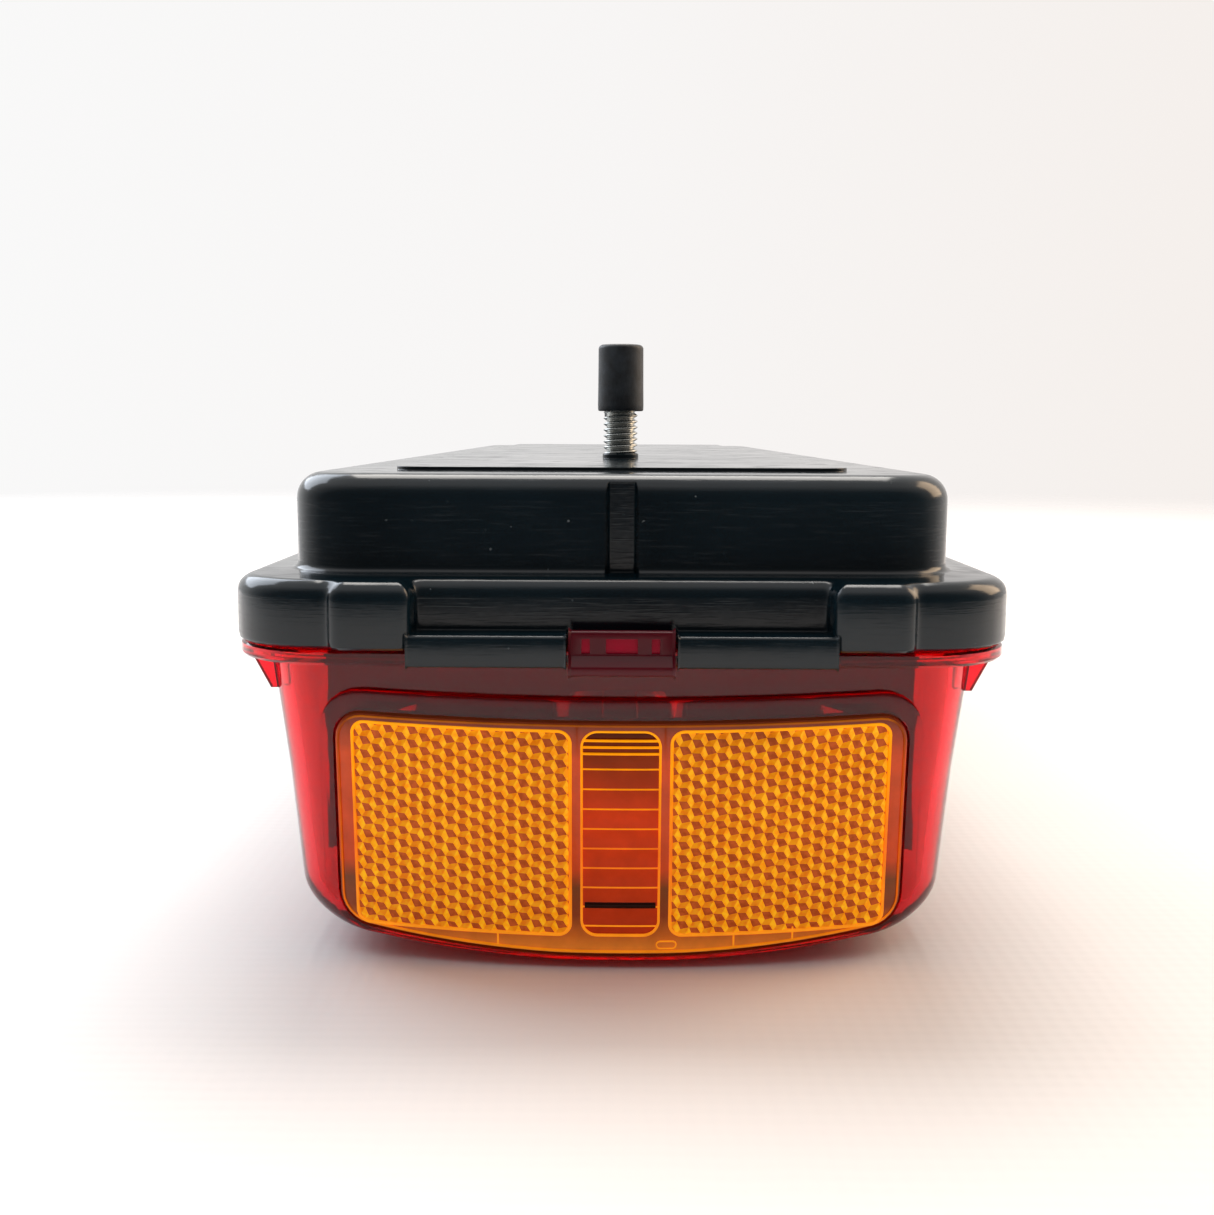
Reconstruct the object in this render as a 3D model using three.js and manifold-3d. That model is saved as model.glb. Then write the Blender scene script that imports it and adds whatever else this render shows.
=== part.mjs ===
// Rear combination lamp for a truck or trailer, lying on its lens with its two mounting studs up.
// A black back housing carries a bulb plate with four bayonet bulbs. A red tub-shaped lens with an
// amber and a clear section closes it, and an amber side reflector sits in the lens's near end.
// Millimetres. X is across the lamp, Y along it, Z up; the origin is on the resting plane, under the middle.
import * as THREE from "three";
import { mergeVertices } from "three/addons/utils/BufferGeometryUtils.js";
import Module from "manifold-3d";

const wasm = await Module();
wasm.setup();

// ---- Driving dimensions ----
const GAP = 0.3; // air between neighbouring pieces
const FINEST = 0.004; // smaller facets are merged away

const LENGTH = 312; // over the lens flange
const WIDTH = 97.8; // over the lens flange
const CORNER = 14; // flange and rim corner radius, in plan
const LENS_DEPTH = 42; // resting plane to the flange's joint face
const HOUSING_DEPTH = 21.2; // joint face to the mounting pad

const FLANGE_THICK = 1.8; // lens flange
const FLANGE_SIDE = 2.5; // flange past the lens wall at the sides
const FLANGE_END = 3.3; // and at the ends
const LENS_WALL = 2;
const DRAFT = Math.tan(THREE.MathUtils.degToRad(5.8)); // lens wall slope
const END_RADIUS = 140; // bulge of the end walls, in plan
const CROWN_RADIUS = 230; // bulge of the lens face across the lamp
const CROWN_FLAT = 7; // half width of the flat strip it rests on
const EDGE_SIDE = 7.5; // lens face edge rounding: across,
const EDGE_END = 2.5; // along,
const EDGE_HIGH = 5.5; // and up the wall

const RIM_HEIGHT = 8.2; // housing skirt
const RIM_ROUND = 2.4;
const BODY_SIDE = 6.2; // housing box inside the flange's side edge
const BODY_END = 9.4; // and behind its end edge
const BODY_CORNER = 10;
const BODY_ROUND = 3.4;
const SHELL = 2.2; // housing wall
const PAD_SIDE = 18; // raised mounting pad inside the flange's side edge
const PAD_END = 24; // and behind its end edge
const PAD_RISE = 0.5;
const FLUTE_WIDTH = 4.2; // upright channel in each end of the box
const FLUTE_DEEP = 1.5;

const LOBE_OUT = 1.8; // shoulder lobes past the flange end
const LOBE_FLAT = 6; // flat front of a lobe
const LOBE_SIDE = 23.7; // lobe's inner face inside the flange's side edge
const RECESS_BACK = 3.4; // recess wall behind the flange end
const LIP_THICK = 1.5; // snap lip over the flange edge
const LIP_DROP = 2; // lip below the joint face
const WEB_THICK = 1.9; // shelf that carries the lip
const CLIP_WIDTH = 12.7; // lens tongue in the lip's notch
const CLIP_RISE = 2.5; // tongue above the joint face
const CLIP_LEDGE = 1.5; // thumb ledge on the tongue

const GROOVE_WIDTH = 2.6; // seal groove
const GROOVE_DEEP = 6.2;
const GROOVE_SIDE = 4.4; // groove middle inside the flange's side edge
const GROOVE_END = 5.8; // and inside its end edge
const SEAL_THICK = 2.2;
const TONGUE_THICK = 1.4; // lens rib that presses on the seal

const STUD_SPACING = 152;
const STUD_RADIUS = 2.95; // M6 thread
const STUD_NECK = 2.4; // moulded-in neck
const STUD_OUT = 18.2; // above the pad
const COLLAR_RADIUS = 3.1;
const COLLAR_HIGH = 1;
const HEAD_FLATS = 10; // hexagon across flats
const HEAD_THICK = 3.9;
const ORING_THICK = 1.3;
const CAP_RADIUS = 3.95; // rubber thread cap
const CAP_WALL = 0.7;
const CAP_LENGTH = 11.25;
const CAP_END = 0.9;

const REFLECTOR_SIDE = 12.6; // amber insert inside the flange's side edge
const REFLECTOR_TOP = 7.4; // below the flange, along the wall
const REFLECTOR_HIGH = 30.8;
const REFLECTOR_CORNER = 3.6;
const REFLECTOR_THICK = 1.9;
const FRAME_BORDER = 2.2; // raised frame beside the insert
const FRAME_FOOT = 1.1; // and below it
const FRAME_TOP = 4.4; // frame's top edge below the flange
const FRAME_RISE = 1;
const POCKET_DEEP = 1.9; // from the frame's face
const FIELD_BORDER = 1.4; // between a reflex field and the window
const FIELD_MARGIN = 2.3; // outside a field
const FIELD_TOP = 1.1; // above a field
const FIELD_HIGH = 27.1;
const WINDOW_WIDTH = 9.8; // marker window between the fields
const FIELD_RISE = 0.2;

const CHAMBER = 74; // bulb to bulb along the lamp
const CHAMBERS = 4;
const SECTION_SIDE = 15; // amber and clear sections inside the flange's side edge
const SECTION_LENGTH = 69;
const SECTION_CORNER = 4;

const CARRIER_THICK = 2;
const CARRIER_ABOVE = 0.9; // plate above the joint face
const BAFFLE_THICK = 1.6;
const BAFFLE_CLEAR = 4; // baffle above the lens face's inside
const HOLDER_WALL = 0.9;
const HOLDER_HIGH = 19.5;
const HOLDER_BELOW = 4.1; // holder mouth below the joint face
const HOLDER_FLANGE = 1.7; // flange past the holder's sleeve
const SLOT_WIDTH = 2.7; // bayonet slot
const PIN_RADIUS = 1;
const TURN_DEG = 22; // bayonet turn
const BASE_RADIUS = 7.5; // B15 bayonet cap
const BASE_CLEAR = 0.35; // between cap and holder
const BASE_HIGH = 15;
const GLASS_RADIUS = 12.4;
const GLASS_HIGH = 31.5;
const NUB_HIGH = 1;
const DISC_THICK = 1.2;
const SPRING_HIGH = 2.5;
const SPRING_RADIUS = 4.6;
const SPRING_WIRE = 0.4;
const STRIP_THICK = 0.8;

const SCREW_SIDE = 6.8; // carrier screws inside the housing wall
const SCREW_Y = 55;
const SCREW_RADIUS = 1.5;
const SCREW_HEAD = 3.3;
const SCREW_LENGTH = 11;
const BOSS_RADIUS = 3.6;

const GROMMET_X = 22; // cable grommet in the far end
const GROMMET_RADIUS = 3.4; // through the wall
const GROMMET_FLANGE = 4.1;
const GROMMET_OUT = 4.4;
const CABLE_RADIUS = 2.4;

const GUSSET_THICK = 1.6; // ribs under the flange
const GUSSET_HIGH = 5.4;
const GUSSET_BITE = 1.5; // depth that a rib runs into the wall
const GUSSETS = 5; // along each side

// ---- Places worked out from them ----
const jointZ = LENS_DEPTH + GAP; // underside of the housing rim
const padZ = jointZ + HOUSING_DEPTH;
const backZ = padZ - PAD_RISE;
const rimTopZ = jointZ + RIM_HEIGHT;
const ceilingZ = backZ - SHELL;
const flangeZ = LENS_DEPTH - FLANGE_THICK;
const halfLength = LENGTH / 2;
const halfWidth = WIDTH / 2;
const wallX = halfWidth - FLANGE_SIDE; // outside of the lens wall under the flange
const wallY = halfLength - FLANGE_END;
const bodyX = halfWidth - BODY_SIDE;
const bodyY = halfLength - BODY_END;
const recessX = halfWidth - LOBE_SIDE;
const recessY = halfLength - RECESS_BACK;
const lipInY = halfLength + GAP;
const lipOutY = lipInY + LIP_THICK;
const grooveX = halfWidth - GROOVE_SIDE;
const grooveY = halfLength - GROOVE_END;
const cavityX = bodyX - SHELL;
const cavityY = bodyY - SHELL;
const carrierZ = jointZ + CARRIER_ABOVE;
const holderRadius = BASE_RADIUS + BASE_CLEAR + HOLDER_WALL;
const holderFlange = holderRadius + HOLDER_FLANGE;
const holderZ = jointZ - HOLDER_BELOW;
const glassZ = holderZ - 0.6; // where glass meets base
const pinZ = glassZ + BASE_HIGH - 6.4;
const discZ = glassZ + BASE_HIGH + NUB_HIGH + GAP;
const springZ = discZ + DISC_THICK + GAP;
const grommetZ = (rimTopZ + ceilingZ) / 2;
const stripZ = springZ + SPRING_HIGH + GAP;
const bulbYs = Array.from({ length: CHAMBERS }, (_, i) => (i - (CHAMBERS - 1) / 2) * CHAMBER);
const baffleYs = Array.from({ length: CHAMBERS - 1 }, (_, i) => (i - (CHAMBERS - 2) / 2) * CHAMBER);
const studYs = [-STUD_SPACING / 2, STUD_SPACING / 2];
const bulbNames = ["tail", "turn", "stop", "reverse"];

// ---- Materials ----
const finish = (color, roughness, metalness = 0, opacity = 1) =>
  new THREE.MeshStandardMaterial({ color, roughness, metalness, opacity, transparent: opacity < 1 });
const blackPlastic = finish(0x12181b, 0.35);
const carrierPlastic = finish(0x1a1c1e, 0.5);
const redLens = finish(0xb3101c, 0.08, 0, 0.75);
const amberLens = finish(0xf08a10, 0.08, 0, 0.8);
const clearLens = finish(0xe8ecee, 0.05, 0, 0.5);
const blackRubber = finish(0x151a1f, 0.6);
const zincSteel = finish(0xc9ccce, 0.3, 1);
const nickelBrass = finish(0xb9b4a4, 0.3, 1);
const brassStrip = finish(0xc8a24a, 0.35, 1);
const springSteel = finish(0xa8abad, 0.3, 1);
const phenolic = finish(0x6b3d1e, 0.6);
const bulbGlass = finish(0xf2f5f5, 0.03, 0, 0.35);

// ---- Solids ----
const solid = (geometry) => {
  const g = geometry.index ? geometry : geometry.clone();
  g.deleteAttribute("normal");
  g.deleteAttribute("uv");
  const merged = mergeVertices(g, 1e-4);
  return new wasm.Manifold(
    new wasm.Mesh({
      numProp: 3,
      vertProperties: new Float32Array(merged.attributes.position.array),
      triVerts: new Uint32Array(merged.index.array),
    }),
  );
};

const toGeometry = (body) => {
  const mesh = body.simplify(FINEST).getMesh();
  return new THREE.BufferGeometry()
    .setAttribute("position", new THREE.BufferAttribute(mesh.vertProperties, 3))
    .setIndex(new THREE.BufferAttribute(mesh.triVerts, 1))
    .toNonIndexed();
};

const join = (first, ...rest) => rest.reduce((sum, part) => sum.add(part), first);
const cut = (first, ...rest) => rest.reduce((left, part) => left.subtract(part), first);

const box = (x0, x1, y0, y1, z0, z1) =>
  solid(
    new THREE.BoxGeometry(x1 - x0, y1 - y0, z1 - z0).translate((x0 + x1) / 2, (y0 + y1) / 2, (z0 + z1) / 2),
  );

const disc = (radius, z0, z1, x = 0, y = 0, sides = 20) =>
  new THREE.CylinderGeometry(radius, radius, z1 - z0, sides).rotateX(Math.PI / 2).translate(x, y, (z0 + z1) / 2);

// A plan shape between two heights.
const prism = (shape, z0, z1, curveSegments = 4) =>
  solid(new THREE.ExtrudeGeometry(shape, { depth: z1 - z0, bevelEnabled: false, curveSegments }).translate(0, 0, z0));

// A profile in X and Z, along Y.
const beam = (shape, y0, y1, curveSegments = 6) =>
  solid(
    new THREE.ExtrudeGeometry(shape, { depth: y1 - y0, bevelEnabled: false, curveSegments })
      .rotateX(Math.PI / 2)
      .translate(0, y1, 0),
  );

// An upright turned piece from [radius, height] pairs that start and end on the axis, lowest first.
const turned = (profile, x, y, sides = 20) =>
  new THREE.LatheGeometry(
    profile.map(([r, z]) => new THREE.Vector2(r, z)),
    sides,
  )
    .rotateX(Math.PI / 2)
    .translate(x, y, 0);

const roundedRect = (halfX, halfY, radius, shape = new THREE.Shape()) => {
  const r = Math.min(radius, halfX, halfY);
  shape.moveTo(-halfX + r, -halfY);
  shape.lineTo(halfX - r, -halfY);
  shape.absarc(halfX - r, -halfY + r, r, -Math.PI / 2, 0);
  shape.lineTo(halfX, halfY - r);
  shape.absarc(halfX - r, halfY - r, r, 0, Math.PI / 2);
  shape.lineTo(-halfX + r, halfY);
  shape.absarc(-halfX + r, halfY - r, r, Math.PI / 2, Math.PI);
  shape.lineTo(-halfX, -halfY + r);
  shape.absarc(-halfX + r, -halfY + r, r, Math.PI, Math.PI * 1.5);
  shape.closePath();
  return shape;
};

const ring = (halfX, halfY, radius, thick) => {
  const shape = roundedRect(halfX + thick / 2, halfY + thick / 2, radius + thick / 2);
  const inside = roundedRect(halfX - thick / 2, halfY - thick / 2, radius - thick / 2, new THREE.Path());
  shape.holes.push(inside);
  return shape;
};

const endBow = (x) => x ** 2 / (2 * END_RADIUS);

const crown = (x) => (Math.max(Math.abs(x), CROWN_FLAT) ** 2 - CROWN_FLAT ** 2) / (2 * CROWN_RADIUS);

// A skin over stacked rounded rectangles, each [height, half width, half length, corner radius], lowest
// first. bulge(x) lifts the lowest one across its width, and the lift fades out at the highest. bow(x)
// draws the ends in.
const CORNER_STEPS = 6;
const END_XS = [-0.85, -0.62, -0.4, -0.2, 0.2, 0.4, 0.62, 0.85];
const stacked = (levels, bulge = () => 0, bow = () => 0) => {
  const low = levels[0][0];
  const high = levels[levels.length - 1][0];
  const vertices = [];
  for (const [z, halfX, halfY, radius] of levels) {
    const flatX = halfX - radius;
    const near = [];
    for (let i = 0; i <= CORNER_STEPS; i++) {
      const a = (Math.PI / 2) * (i / CORNER_STEPS);
      near.push([-flatX - radius * Math.cos(a), radius - halfY - radius * Math.sin(a) + bow(flatX)]);
    }
    for (const share of END_XS) near.push([share * flatX, bow(share * flatX) - halfY]);
    for (let i = CORNER_STEPS; i >= 0; i--) {
      const [x, y] = near[i];
      near.push([-x, y]);
    }
    const far = near.map(([x, y]) => [x, -y]).reverse();
    for (const [x, y] of [...near, ...far]) {
      vertices.push(x, y, z + bulge(x) * (1 - (z - low) / (high - low)));
    }
  }
  const count = 2 * (2 * (CORNER_STEPS + 1) + END_XS.length);
  const faces = [];
  const top = (levels.length - 1) * count;
  for (let k = 0; k < levels.length - 1; k++) {
    for (let i = 0; i < count; i++) {
      const a = k * count + i;
      const b = k * count + ((i + 1) % count);
      faces.push(a, b, b + count, a, b + count, a + count);
    }
  }
  for (let i = 0; i < count / 2 - 1; i++) {
    const [p, p2, q2, q] = [i, i + 1, count - 2 - i, count - 1 - i];
    faces.push(p, q, q2, p, q2, p2, top + p, top + q2, top + q, top + p, top + p2, top + q2);
  }
  const g = new THREE.BufferGeometry();
  g.setAttribute("position", new THREE.Float32BufferAttribute(vertices, 3));
  g.setIndex(faces);
  return solid(g);
};

// ---- The near end wall's own frame: X across, Y up the sloping wall, Z out of it ----
const slope = Math.atan(DRAFT);
const onEndWall = new THREE.Matrix4()
  .makeBasis(
    new THREE.Vector3(1, 0, 0),
    new THREE.Vector3(0, -Math.sin(slope), Math.cos(slope)),
    new THREE.Vector3(0, -Math.cos(slope), -Math.sin(slope)),
  )
  .setPosition(0, -wallY, flangeZ);

// A rectangle on the wall between two heights, its lower edge bowed like the lens face.
const bowedRect = (halfX, top, bottom, radius) => {
  const shape = new THREE.Shape();
  const bow = (x) => bottom + crown(x);
  shape.moveTo(-halfX + radius, top);
  shape.absarc(-halfX + radius, top - radius, radius, Math.PI / 2, Math.PI);
  shape.lineTo(-halfX, bow(halfX) + radius);
  shape.quadraticCurveTo(-halfX, bow(halfX), -halfX + radius, bow(halfX - radius));
  for (const share of END_XS) shape.lineTo(share * (halfX - radius), bow(share * (halfX - radius)));
  shape.lineTo(halfX - radius, bow(halfX - radius));
  shape.quadraticCurveTo(halfX, bow(halfX), halfX, bow(halfX) + radius);
  shape.lineTo(halfX, top - radius);
  shape.absarc(halfX - radius, top - radius, radius, 0, Math.PI / 2);
  shape.closePath();
  return shape;
};

// A bowed plate on the wall: an outline in the wall's X and Y, between two heights off it.
const PLATE_REACH = 12;
const PLATE_FACETS = 16;
const wallPlate = (shape, out0, out1) => {
  const outline = new THREE.ExtrudeGeometry(shape, {
    depth: 2 * PLATE_REACH,
    bevelEnabled: false,
    curveSegments: 4,
  }).translate(0, 0, -PLATE_REACH);
  const xs = Array.from({ length: PLATE_FACETS + 1 }, (_, i) => wallX * ((2 * i) / PLATE_FACETS - 1));
  const low = xs.map((x) => new THREE.Vector2(x, out0 - endBow(x)));
  const high = xs.map((x) => new THREE.Vector2(x, out1 - endBow(x)));
  const slab = new THREE.ExtrudeGeometry(new THREE.Shape([...low, ...high.reverse()]), {
    depth: LENS_DEPTH + PLATE_REACH,
    bevelEnabled: false,
  }).rotateX(Math.PI / 2);
  return solid(outline.applyMatrix4(onEndWall)).intersect(solid(slab.applyMatrix4(onEndWall)));
};

const reflectorTop = -REFLECTOR_TOP;
const reflectorX = halfWidth - REFLECTOR_SIDE;
const fieldWidth = reflectorX - WINDOW_WIDTH / 2 - FIELD_BORDER - FIELD_MARGIN;
const reflectorBottom = reflectorTop - REFLECTOR_HIGH;

// ---- Lens ----
const lensLevels = (inset) => {
  const low = inset;
  const foot = { x: wallX - flangeZ * DRAFT - inset, y: wallY - flangeZ * DRAFT - inset };
  const side = EDGE_SIDE - inset * 0.7;
  const end = EDGE_END - inset * 0.4;
  const corner = CORNER - FLANGE_SIDE - inset;
  const levels = [];
  for (const deg of [0, 25, 50, 90]) {
    const a = THREE.MathUtils.degToRad(deg);
    const z = low + (EDGE_HIGH - inset * 0.5) * (1 - Math.cos(a));
    const back = 1 - Math.sin(a);
    const lean = z * DRAFT;
    levels.push([z, foot.x + lean - side * back, foot.y + lean - end * back, corner - 3 - side * back * 0.7]);
  }
  const top = LENS_DEPTH - 0.4;
  const lean = (top - flangeZ) * DRAFT;
  levels.push([top, wallX + lean - inset, wallY + lean - inset, corner]);
  return levels;
};

const lensMouth = (z) => [z, wallX - LENS_WALL, wallY - LENS_WALL, CORNER - FLANGE_SIDE - LENS_WALL];

const sectionX = halfWidth - SECTION_SIDE;
const sectionOpening = (grow) =>
  roundedRect(sectionX + grow, SECTION_LENGTH / 2 + grow, SECTION_CORNER + grow);
const sectionYs = { turn: bulbYs[1], reverse: bulbYs[3] };

function lensBody() {
  const outside = stacked(lensLevels(0), crown, endBow);
  const inside = stacked([...lensLevels(LENS_WALL), lensMouth(LENS_DEPTH)], crown, endBow);
  const ringOuter = prism(roundedRect(halfWidth, halfLength, CORNER), flangeZ, LENS_DEPTH);
  const ringX = grooveX - TONGUE_THICK / 2;
  const ringY = grooveY - TONGUE_THICK / 2;
  const mouth = prism(roundedRect(ringX, ringY, CORNER - GROOVE_SIDE - TONGUE_THICK / 2), flangeZ - 1, LENS_DEPTH + 1);
  const tongue = prism(
    ring(grooveX, grooveY, CORNER - GROOVE_SIDE, TONGUE_THICK),
    LENS_DEPTH - 0.5,
    jointZ + GROOVE_DEEP - SEAL_THICK - 3 * GAP,
  );
  const tub = cut(outside, inside);
  const shell = join(tub, cut(ringOuter, mouth), tongue, ...gussets(), clipTongue());
  const frame = wallPlate(frameShape(), -LENS_WALL / 2, FRAME_RISE);
  const pocketOut = FRAME_RISE - POCKET_DEEP;
  const pocket = wallPlate(reflectorShape(GAP), pocketOut, FRAME_RISE + 3);
  const windowShape = new THREE.Shape();
  const windowTop = reflectorTop - FIELD_TOP - 1;
  windowShape.moveTo(-WINDOW_WIDTH / 2, windowTop);
  windowShape.lineTo(-WINDOW_WIDTH / 2, windowTop - FIELD_HIGH + 3);
  windowShape.lineTo(WINDOW_WIDTH / 2, windowTop - FIELD_HIGH + 3);
  windowShape.lineTo(WINDOW_WIDTH / 2, windowTop);
  const windowHole = wallPlate(windowShape, -LENS_WALL - 3, FRAME_RISE);
  const openings = Object.values(sectionYs).map((y) =>
    prism(sectionOpening(GAP), -1, EDGE_HIGH + LENS_WALL).translate(0, y, 0),
  );
  return cut(join(shell, frame), pocket, windowHole, ...openings);
}

function frameShape() {
  return bowedRect(
    reflectorX + FRAME_BORDER,
    -FRAME_TOP,
    reflectorBottom - FRAME_FOOT,
    REFLECTOR_CORNER + FRAME_BORDER,
  );
}

function reflectorShape(grow) {
  return bowedRect(
    reflectorX + grow,
    reflectorTop + grow,
    reflectorBottom - grow,
    REFLECTOR_CORNER + grow,
  );
}

// Triangular ribs under the flange, along both long sides.
function gussets() {
  const pitch = (LENGTH - 2 * CORNER - 4) / (GUSSETS - 1);
  const made = [];
  for (const side of [-1, 1]) {
    const shape = new THREE.Shape();
    const foot = wallX - GUSSET_HIGH * DRAFT;
    shape.moveTo(side * (wallX - GUSSET_BITE), flangeZ + 0.5);
    shape.lineTo(side * (foot - GUSSET_BITE), flangeZ - GUSSET_HIGH);
    shape.lineTo(side * foot, flangeZ - GUSSET_HIGH);
    shape.lineTo(side * (halfWidth - 0.2), flangeZ - 0.6);
    shape.lineTo(side * (halfWidth - 0.2), flangeZ + 0.5);
    shape.closePath();
    for (let i = 0; i < GUSSETS; i++) {
      const y = (i - (GUSSETS - 1) / 2) * pitch;
      made.push(beam(shape, y - GUSSET_THICK / 2, y + GUSSET_THICK / 2));
    }
  }
  return made;
}

// The tongue that stands in the notch of the housing's lip, one at each end.
function clipTongue() {
  const half = CLIP_WIDTH / 2;
  const out = lipOutY;
  const low = flangeZ - 0.6;
  const high = jointZ + CLIP_RISE;
  const pockets = [
    [-0.73, -0.55],
    [-0.27, 0.27],
    [0.55, 0.73],
  ];
  let tongue = box(-half, half, -out, -halfLength + 0.5, low, LENS_DEPTH);
  tongue = tongue.add(box(-half, half, -out, -halfLength - 0.3, low, high));
  tongue = tongue.add(box(-half, half, -out - CLIP_LEDGE, -out + 0.5, low + 0.3, flangeZ + 1));
  for (const [a, b] of pockets) {
    tongue = tongue.subtract(box(a * half, b * half, -out - 1, -out + 0.7, flangeZ + 1.6, high - 0.8));
  }
  return join(tongue, tongue.rotate([0, 0, 180]));
}

// A crowned plate that fills an opening in the lens face.
function lensSection(y) {
  const shape = new THREE.Shape();
  const half = sectionX;
  const xs = END_XS.map((share) => share * half);
  shape.moveTo(-half, crown(half));
  for (const x of xs) shape.lineTo(x, crown(x));
  shape.lineTo(half, crown(half));
  shape.lineTo(half, crown(half) + LENS_WALL);
  for (const x of xs.reverse()) shape.lineTo(x, crown(x) + LENS_WALL);
  shape.lineTo(-half, crown(half) + LENS_WALL);
  shape.closePath();
  const length = SECTION_LENGTH / 2;
  const plate = beam(shape, y - length, y + length);
  return plate.intersect(prism(sectionOpening(0), -1, EDGE_HIGH + LENS_WALL).translate(0, y, 0));
}

// ---- Side reflector: two reflex fields with a fluted marker window between them ----
function sideReflector() {
  const low = FRAME_RISE - POCKET_DEEP + GAP;
  const high = low + REFLECTOR_THICK;
  const middle = reflectorTop - FIELD_TOP - FIELD_HIGH / 2;
  const fields = [-1, 1].map((side) => {
    const x = side * (WINDOW_WIDTH / 2 + FIELD_BORDER + fieldWidth / 2);
    const outline = roundedRect(fieldWidth / 2, FIELD_HIGH / 2, REFLECTOR_CORNER / 2).getPoints(4);
    const shape = new THREE.Shape(outline.map((p) => new THREE.Vector2(p.x + x, p.y + middle)));
    return wallPlate(shape, 0, high + FIELD_RISE);
  });
  const flutes = [];
  const count = 12;
  const pitch = FIELD_HIGH / count;
  for (let i = 0; i < count; i++) {
    const top = middle + FIELD_HIGH / 2 - i * pitch;
    const shape = new THREE.Shape();
    shape.moveTo(-WINDOW_WIDTH / 2, top - 0.3);
    shape.lineTo(-WINDOW_WIDTH / 2, top - pitch);
    shape.lineTo(WINDOW_WIDTH / 2, top - pitch);
    shape.lineTo(WINDOW_WIDTH / 2, top - 0.3);
    flutes.push(wallPlate(shape, 0, high + FIELD_RISE));
  }
  return join(wallPlate(reflectorShape(0), low, high), ...fields, ...flutes);
}

// ---- Housing ----
// Plan outline of the rim: rounded corners that run into a shoulder lobe each side of the recess.
function rimShape() {
  const lobeY = -halfLength - LOBE_OUT;
  const inner = recessX;
  const cx = halfWidth - CORNER;
  const cy = -halfLength + CORNER;
  const turn = THREE.MathUtils.degToRad(255);
  const startX = -cx + CORNER * Math.cos(turn);
  const half = new THREE.Path();
  half.moveTo(-halfWidth, cy);
  half.absarc(-cx, cy, CORNER, Math.PI, turn);
  half.bezierCurveTo(startX + 2, -halfLength, -inner - LOBE_FLAT - 2.6, lobeY, -inner - LOBE_FLAT, lobeY);
  half.lineTo(-inner, lobeY);
  half.lineTo(-inner, -recessY);
  const left = half.getPoints(5);
  const near = [...left, ...left.map((p) => new THREE.Vector2(-p.x, p.y)).reverse()];
  const far = near.map((p) => new THREE.Vector2(p.x, -p.y)).reverse();
  return new THREE.Shape([...near, ...far]);
}

function rimBlock() {
  const bevelled = new THREE.ExtrudeGeometry(rimShape(), {
    depth: RIM_HEIGHT,
    bevelThickness: RIM_ROUND,
    bevelSize: RIM_ROUND,
    bevelOffset: -RIM_ROUND,
    bevelSegments: 2,
  });
  const whole = solid(bevelled.translate(0, 0, jointZ - RIM_ROUND));
  const reach = LENGTH + WIDTH;
  return cut(whole, box(-reach, reach, -reach, reach, jointZ - 2 * RIM_ROUND, jointZ));
}

function bodyBlock() {
  const halfX = bodyX;
  const levels = [[jointZ, halfX, bodyY, BODY_CORNER]];
  for (const deg of [0, 30, 60, 90]) {
    const a = THREE.MathUtils.degToRad(deg);
    const inset = BODY_ROUND * (1 - Math.cos(a));
    levels.push([backZ - BODY_ROUND * (1 - Math.sin(a)), halfX - inset, bodyY - inset, BODY_CORNER - inset]);
  }
  return stacked(levels);
}

// The shelf and lip that hang over the lens flange between the lobes, with the tongue's notch.
function snapLip() {
  const half = recessX + 0.5;
  const shelfTop = jointZ + WEB_THICK;
  const bars = [-1, 1].map((end) => {
    const [y0, y1] = [lipInY, lipOutY].map((y) => y * end).sort((a, b) => a - b);
    const [s0, s1] = [recessY - 1, lipOutY].map((y) => y * end).sort((a, b) => a - b);
    return box(-half, half, y0, y1, jointZ - LIP_DROP, shelfTop).add(box(-half, half, s0, s1, jointZ, shelfTop));
  });
  return join(...bars);
}

function clipNotches() {
  const half = CLIP_WIDTH / 2 + GAP;
  return [-1, 1].map((end) => {
    const [y0, y1] = [recessY, lipOutY + 2].map((y) => y * end).sort((a, b) => a - b);
    return box(-half, half, y0, y1, jointZ - LIP_DROP - 1, jointZ + WEB_THICK + 1);
  });
}

function endFlutes() {
  const half = FLUTE_WIDTH / 2;
  const shape = new THREE.Shape();
  shape.moveTo(-half, -bodyY - 1);
  shape.lineTo(half, -bodyY - 1);
  shape.lineTo(half, -bodyY);
  shape.lineTo(half - 0.8, -bodyY + FLUTE_DEEP);
  shape.lineTo(-half + 0.8, -bodyY + FLUTE_DEEP);
  shape.lineTo(-half, -bodyY);
  shape.closePath();
  const flute = prism(shape, rimTopZ, backZ - BODY_ROUND * 0.3);
  return [flute, flute.rotate([0, 0, 180])];
}

const screwSpots = [-1, 1].flatMap((sx) => [-1, 1].map((sy) => [sx * (cavityX - SCREW_SIDE), sy * SCREW_Y]));

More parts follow.
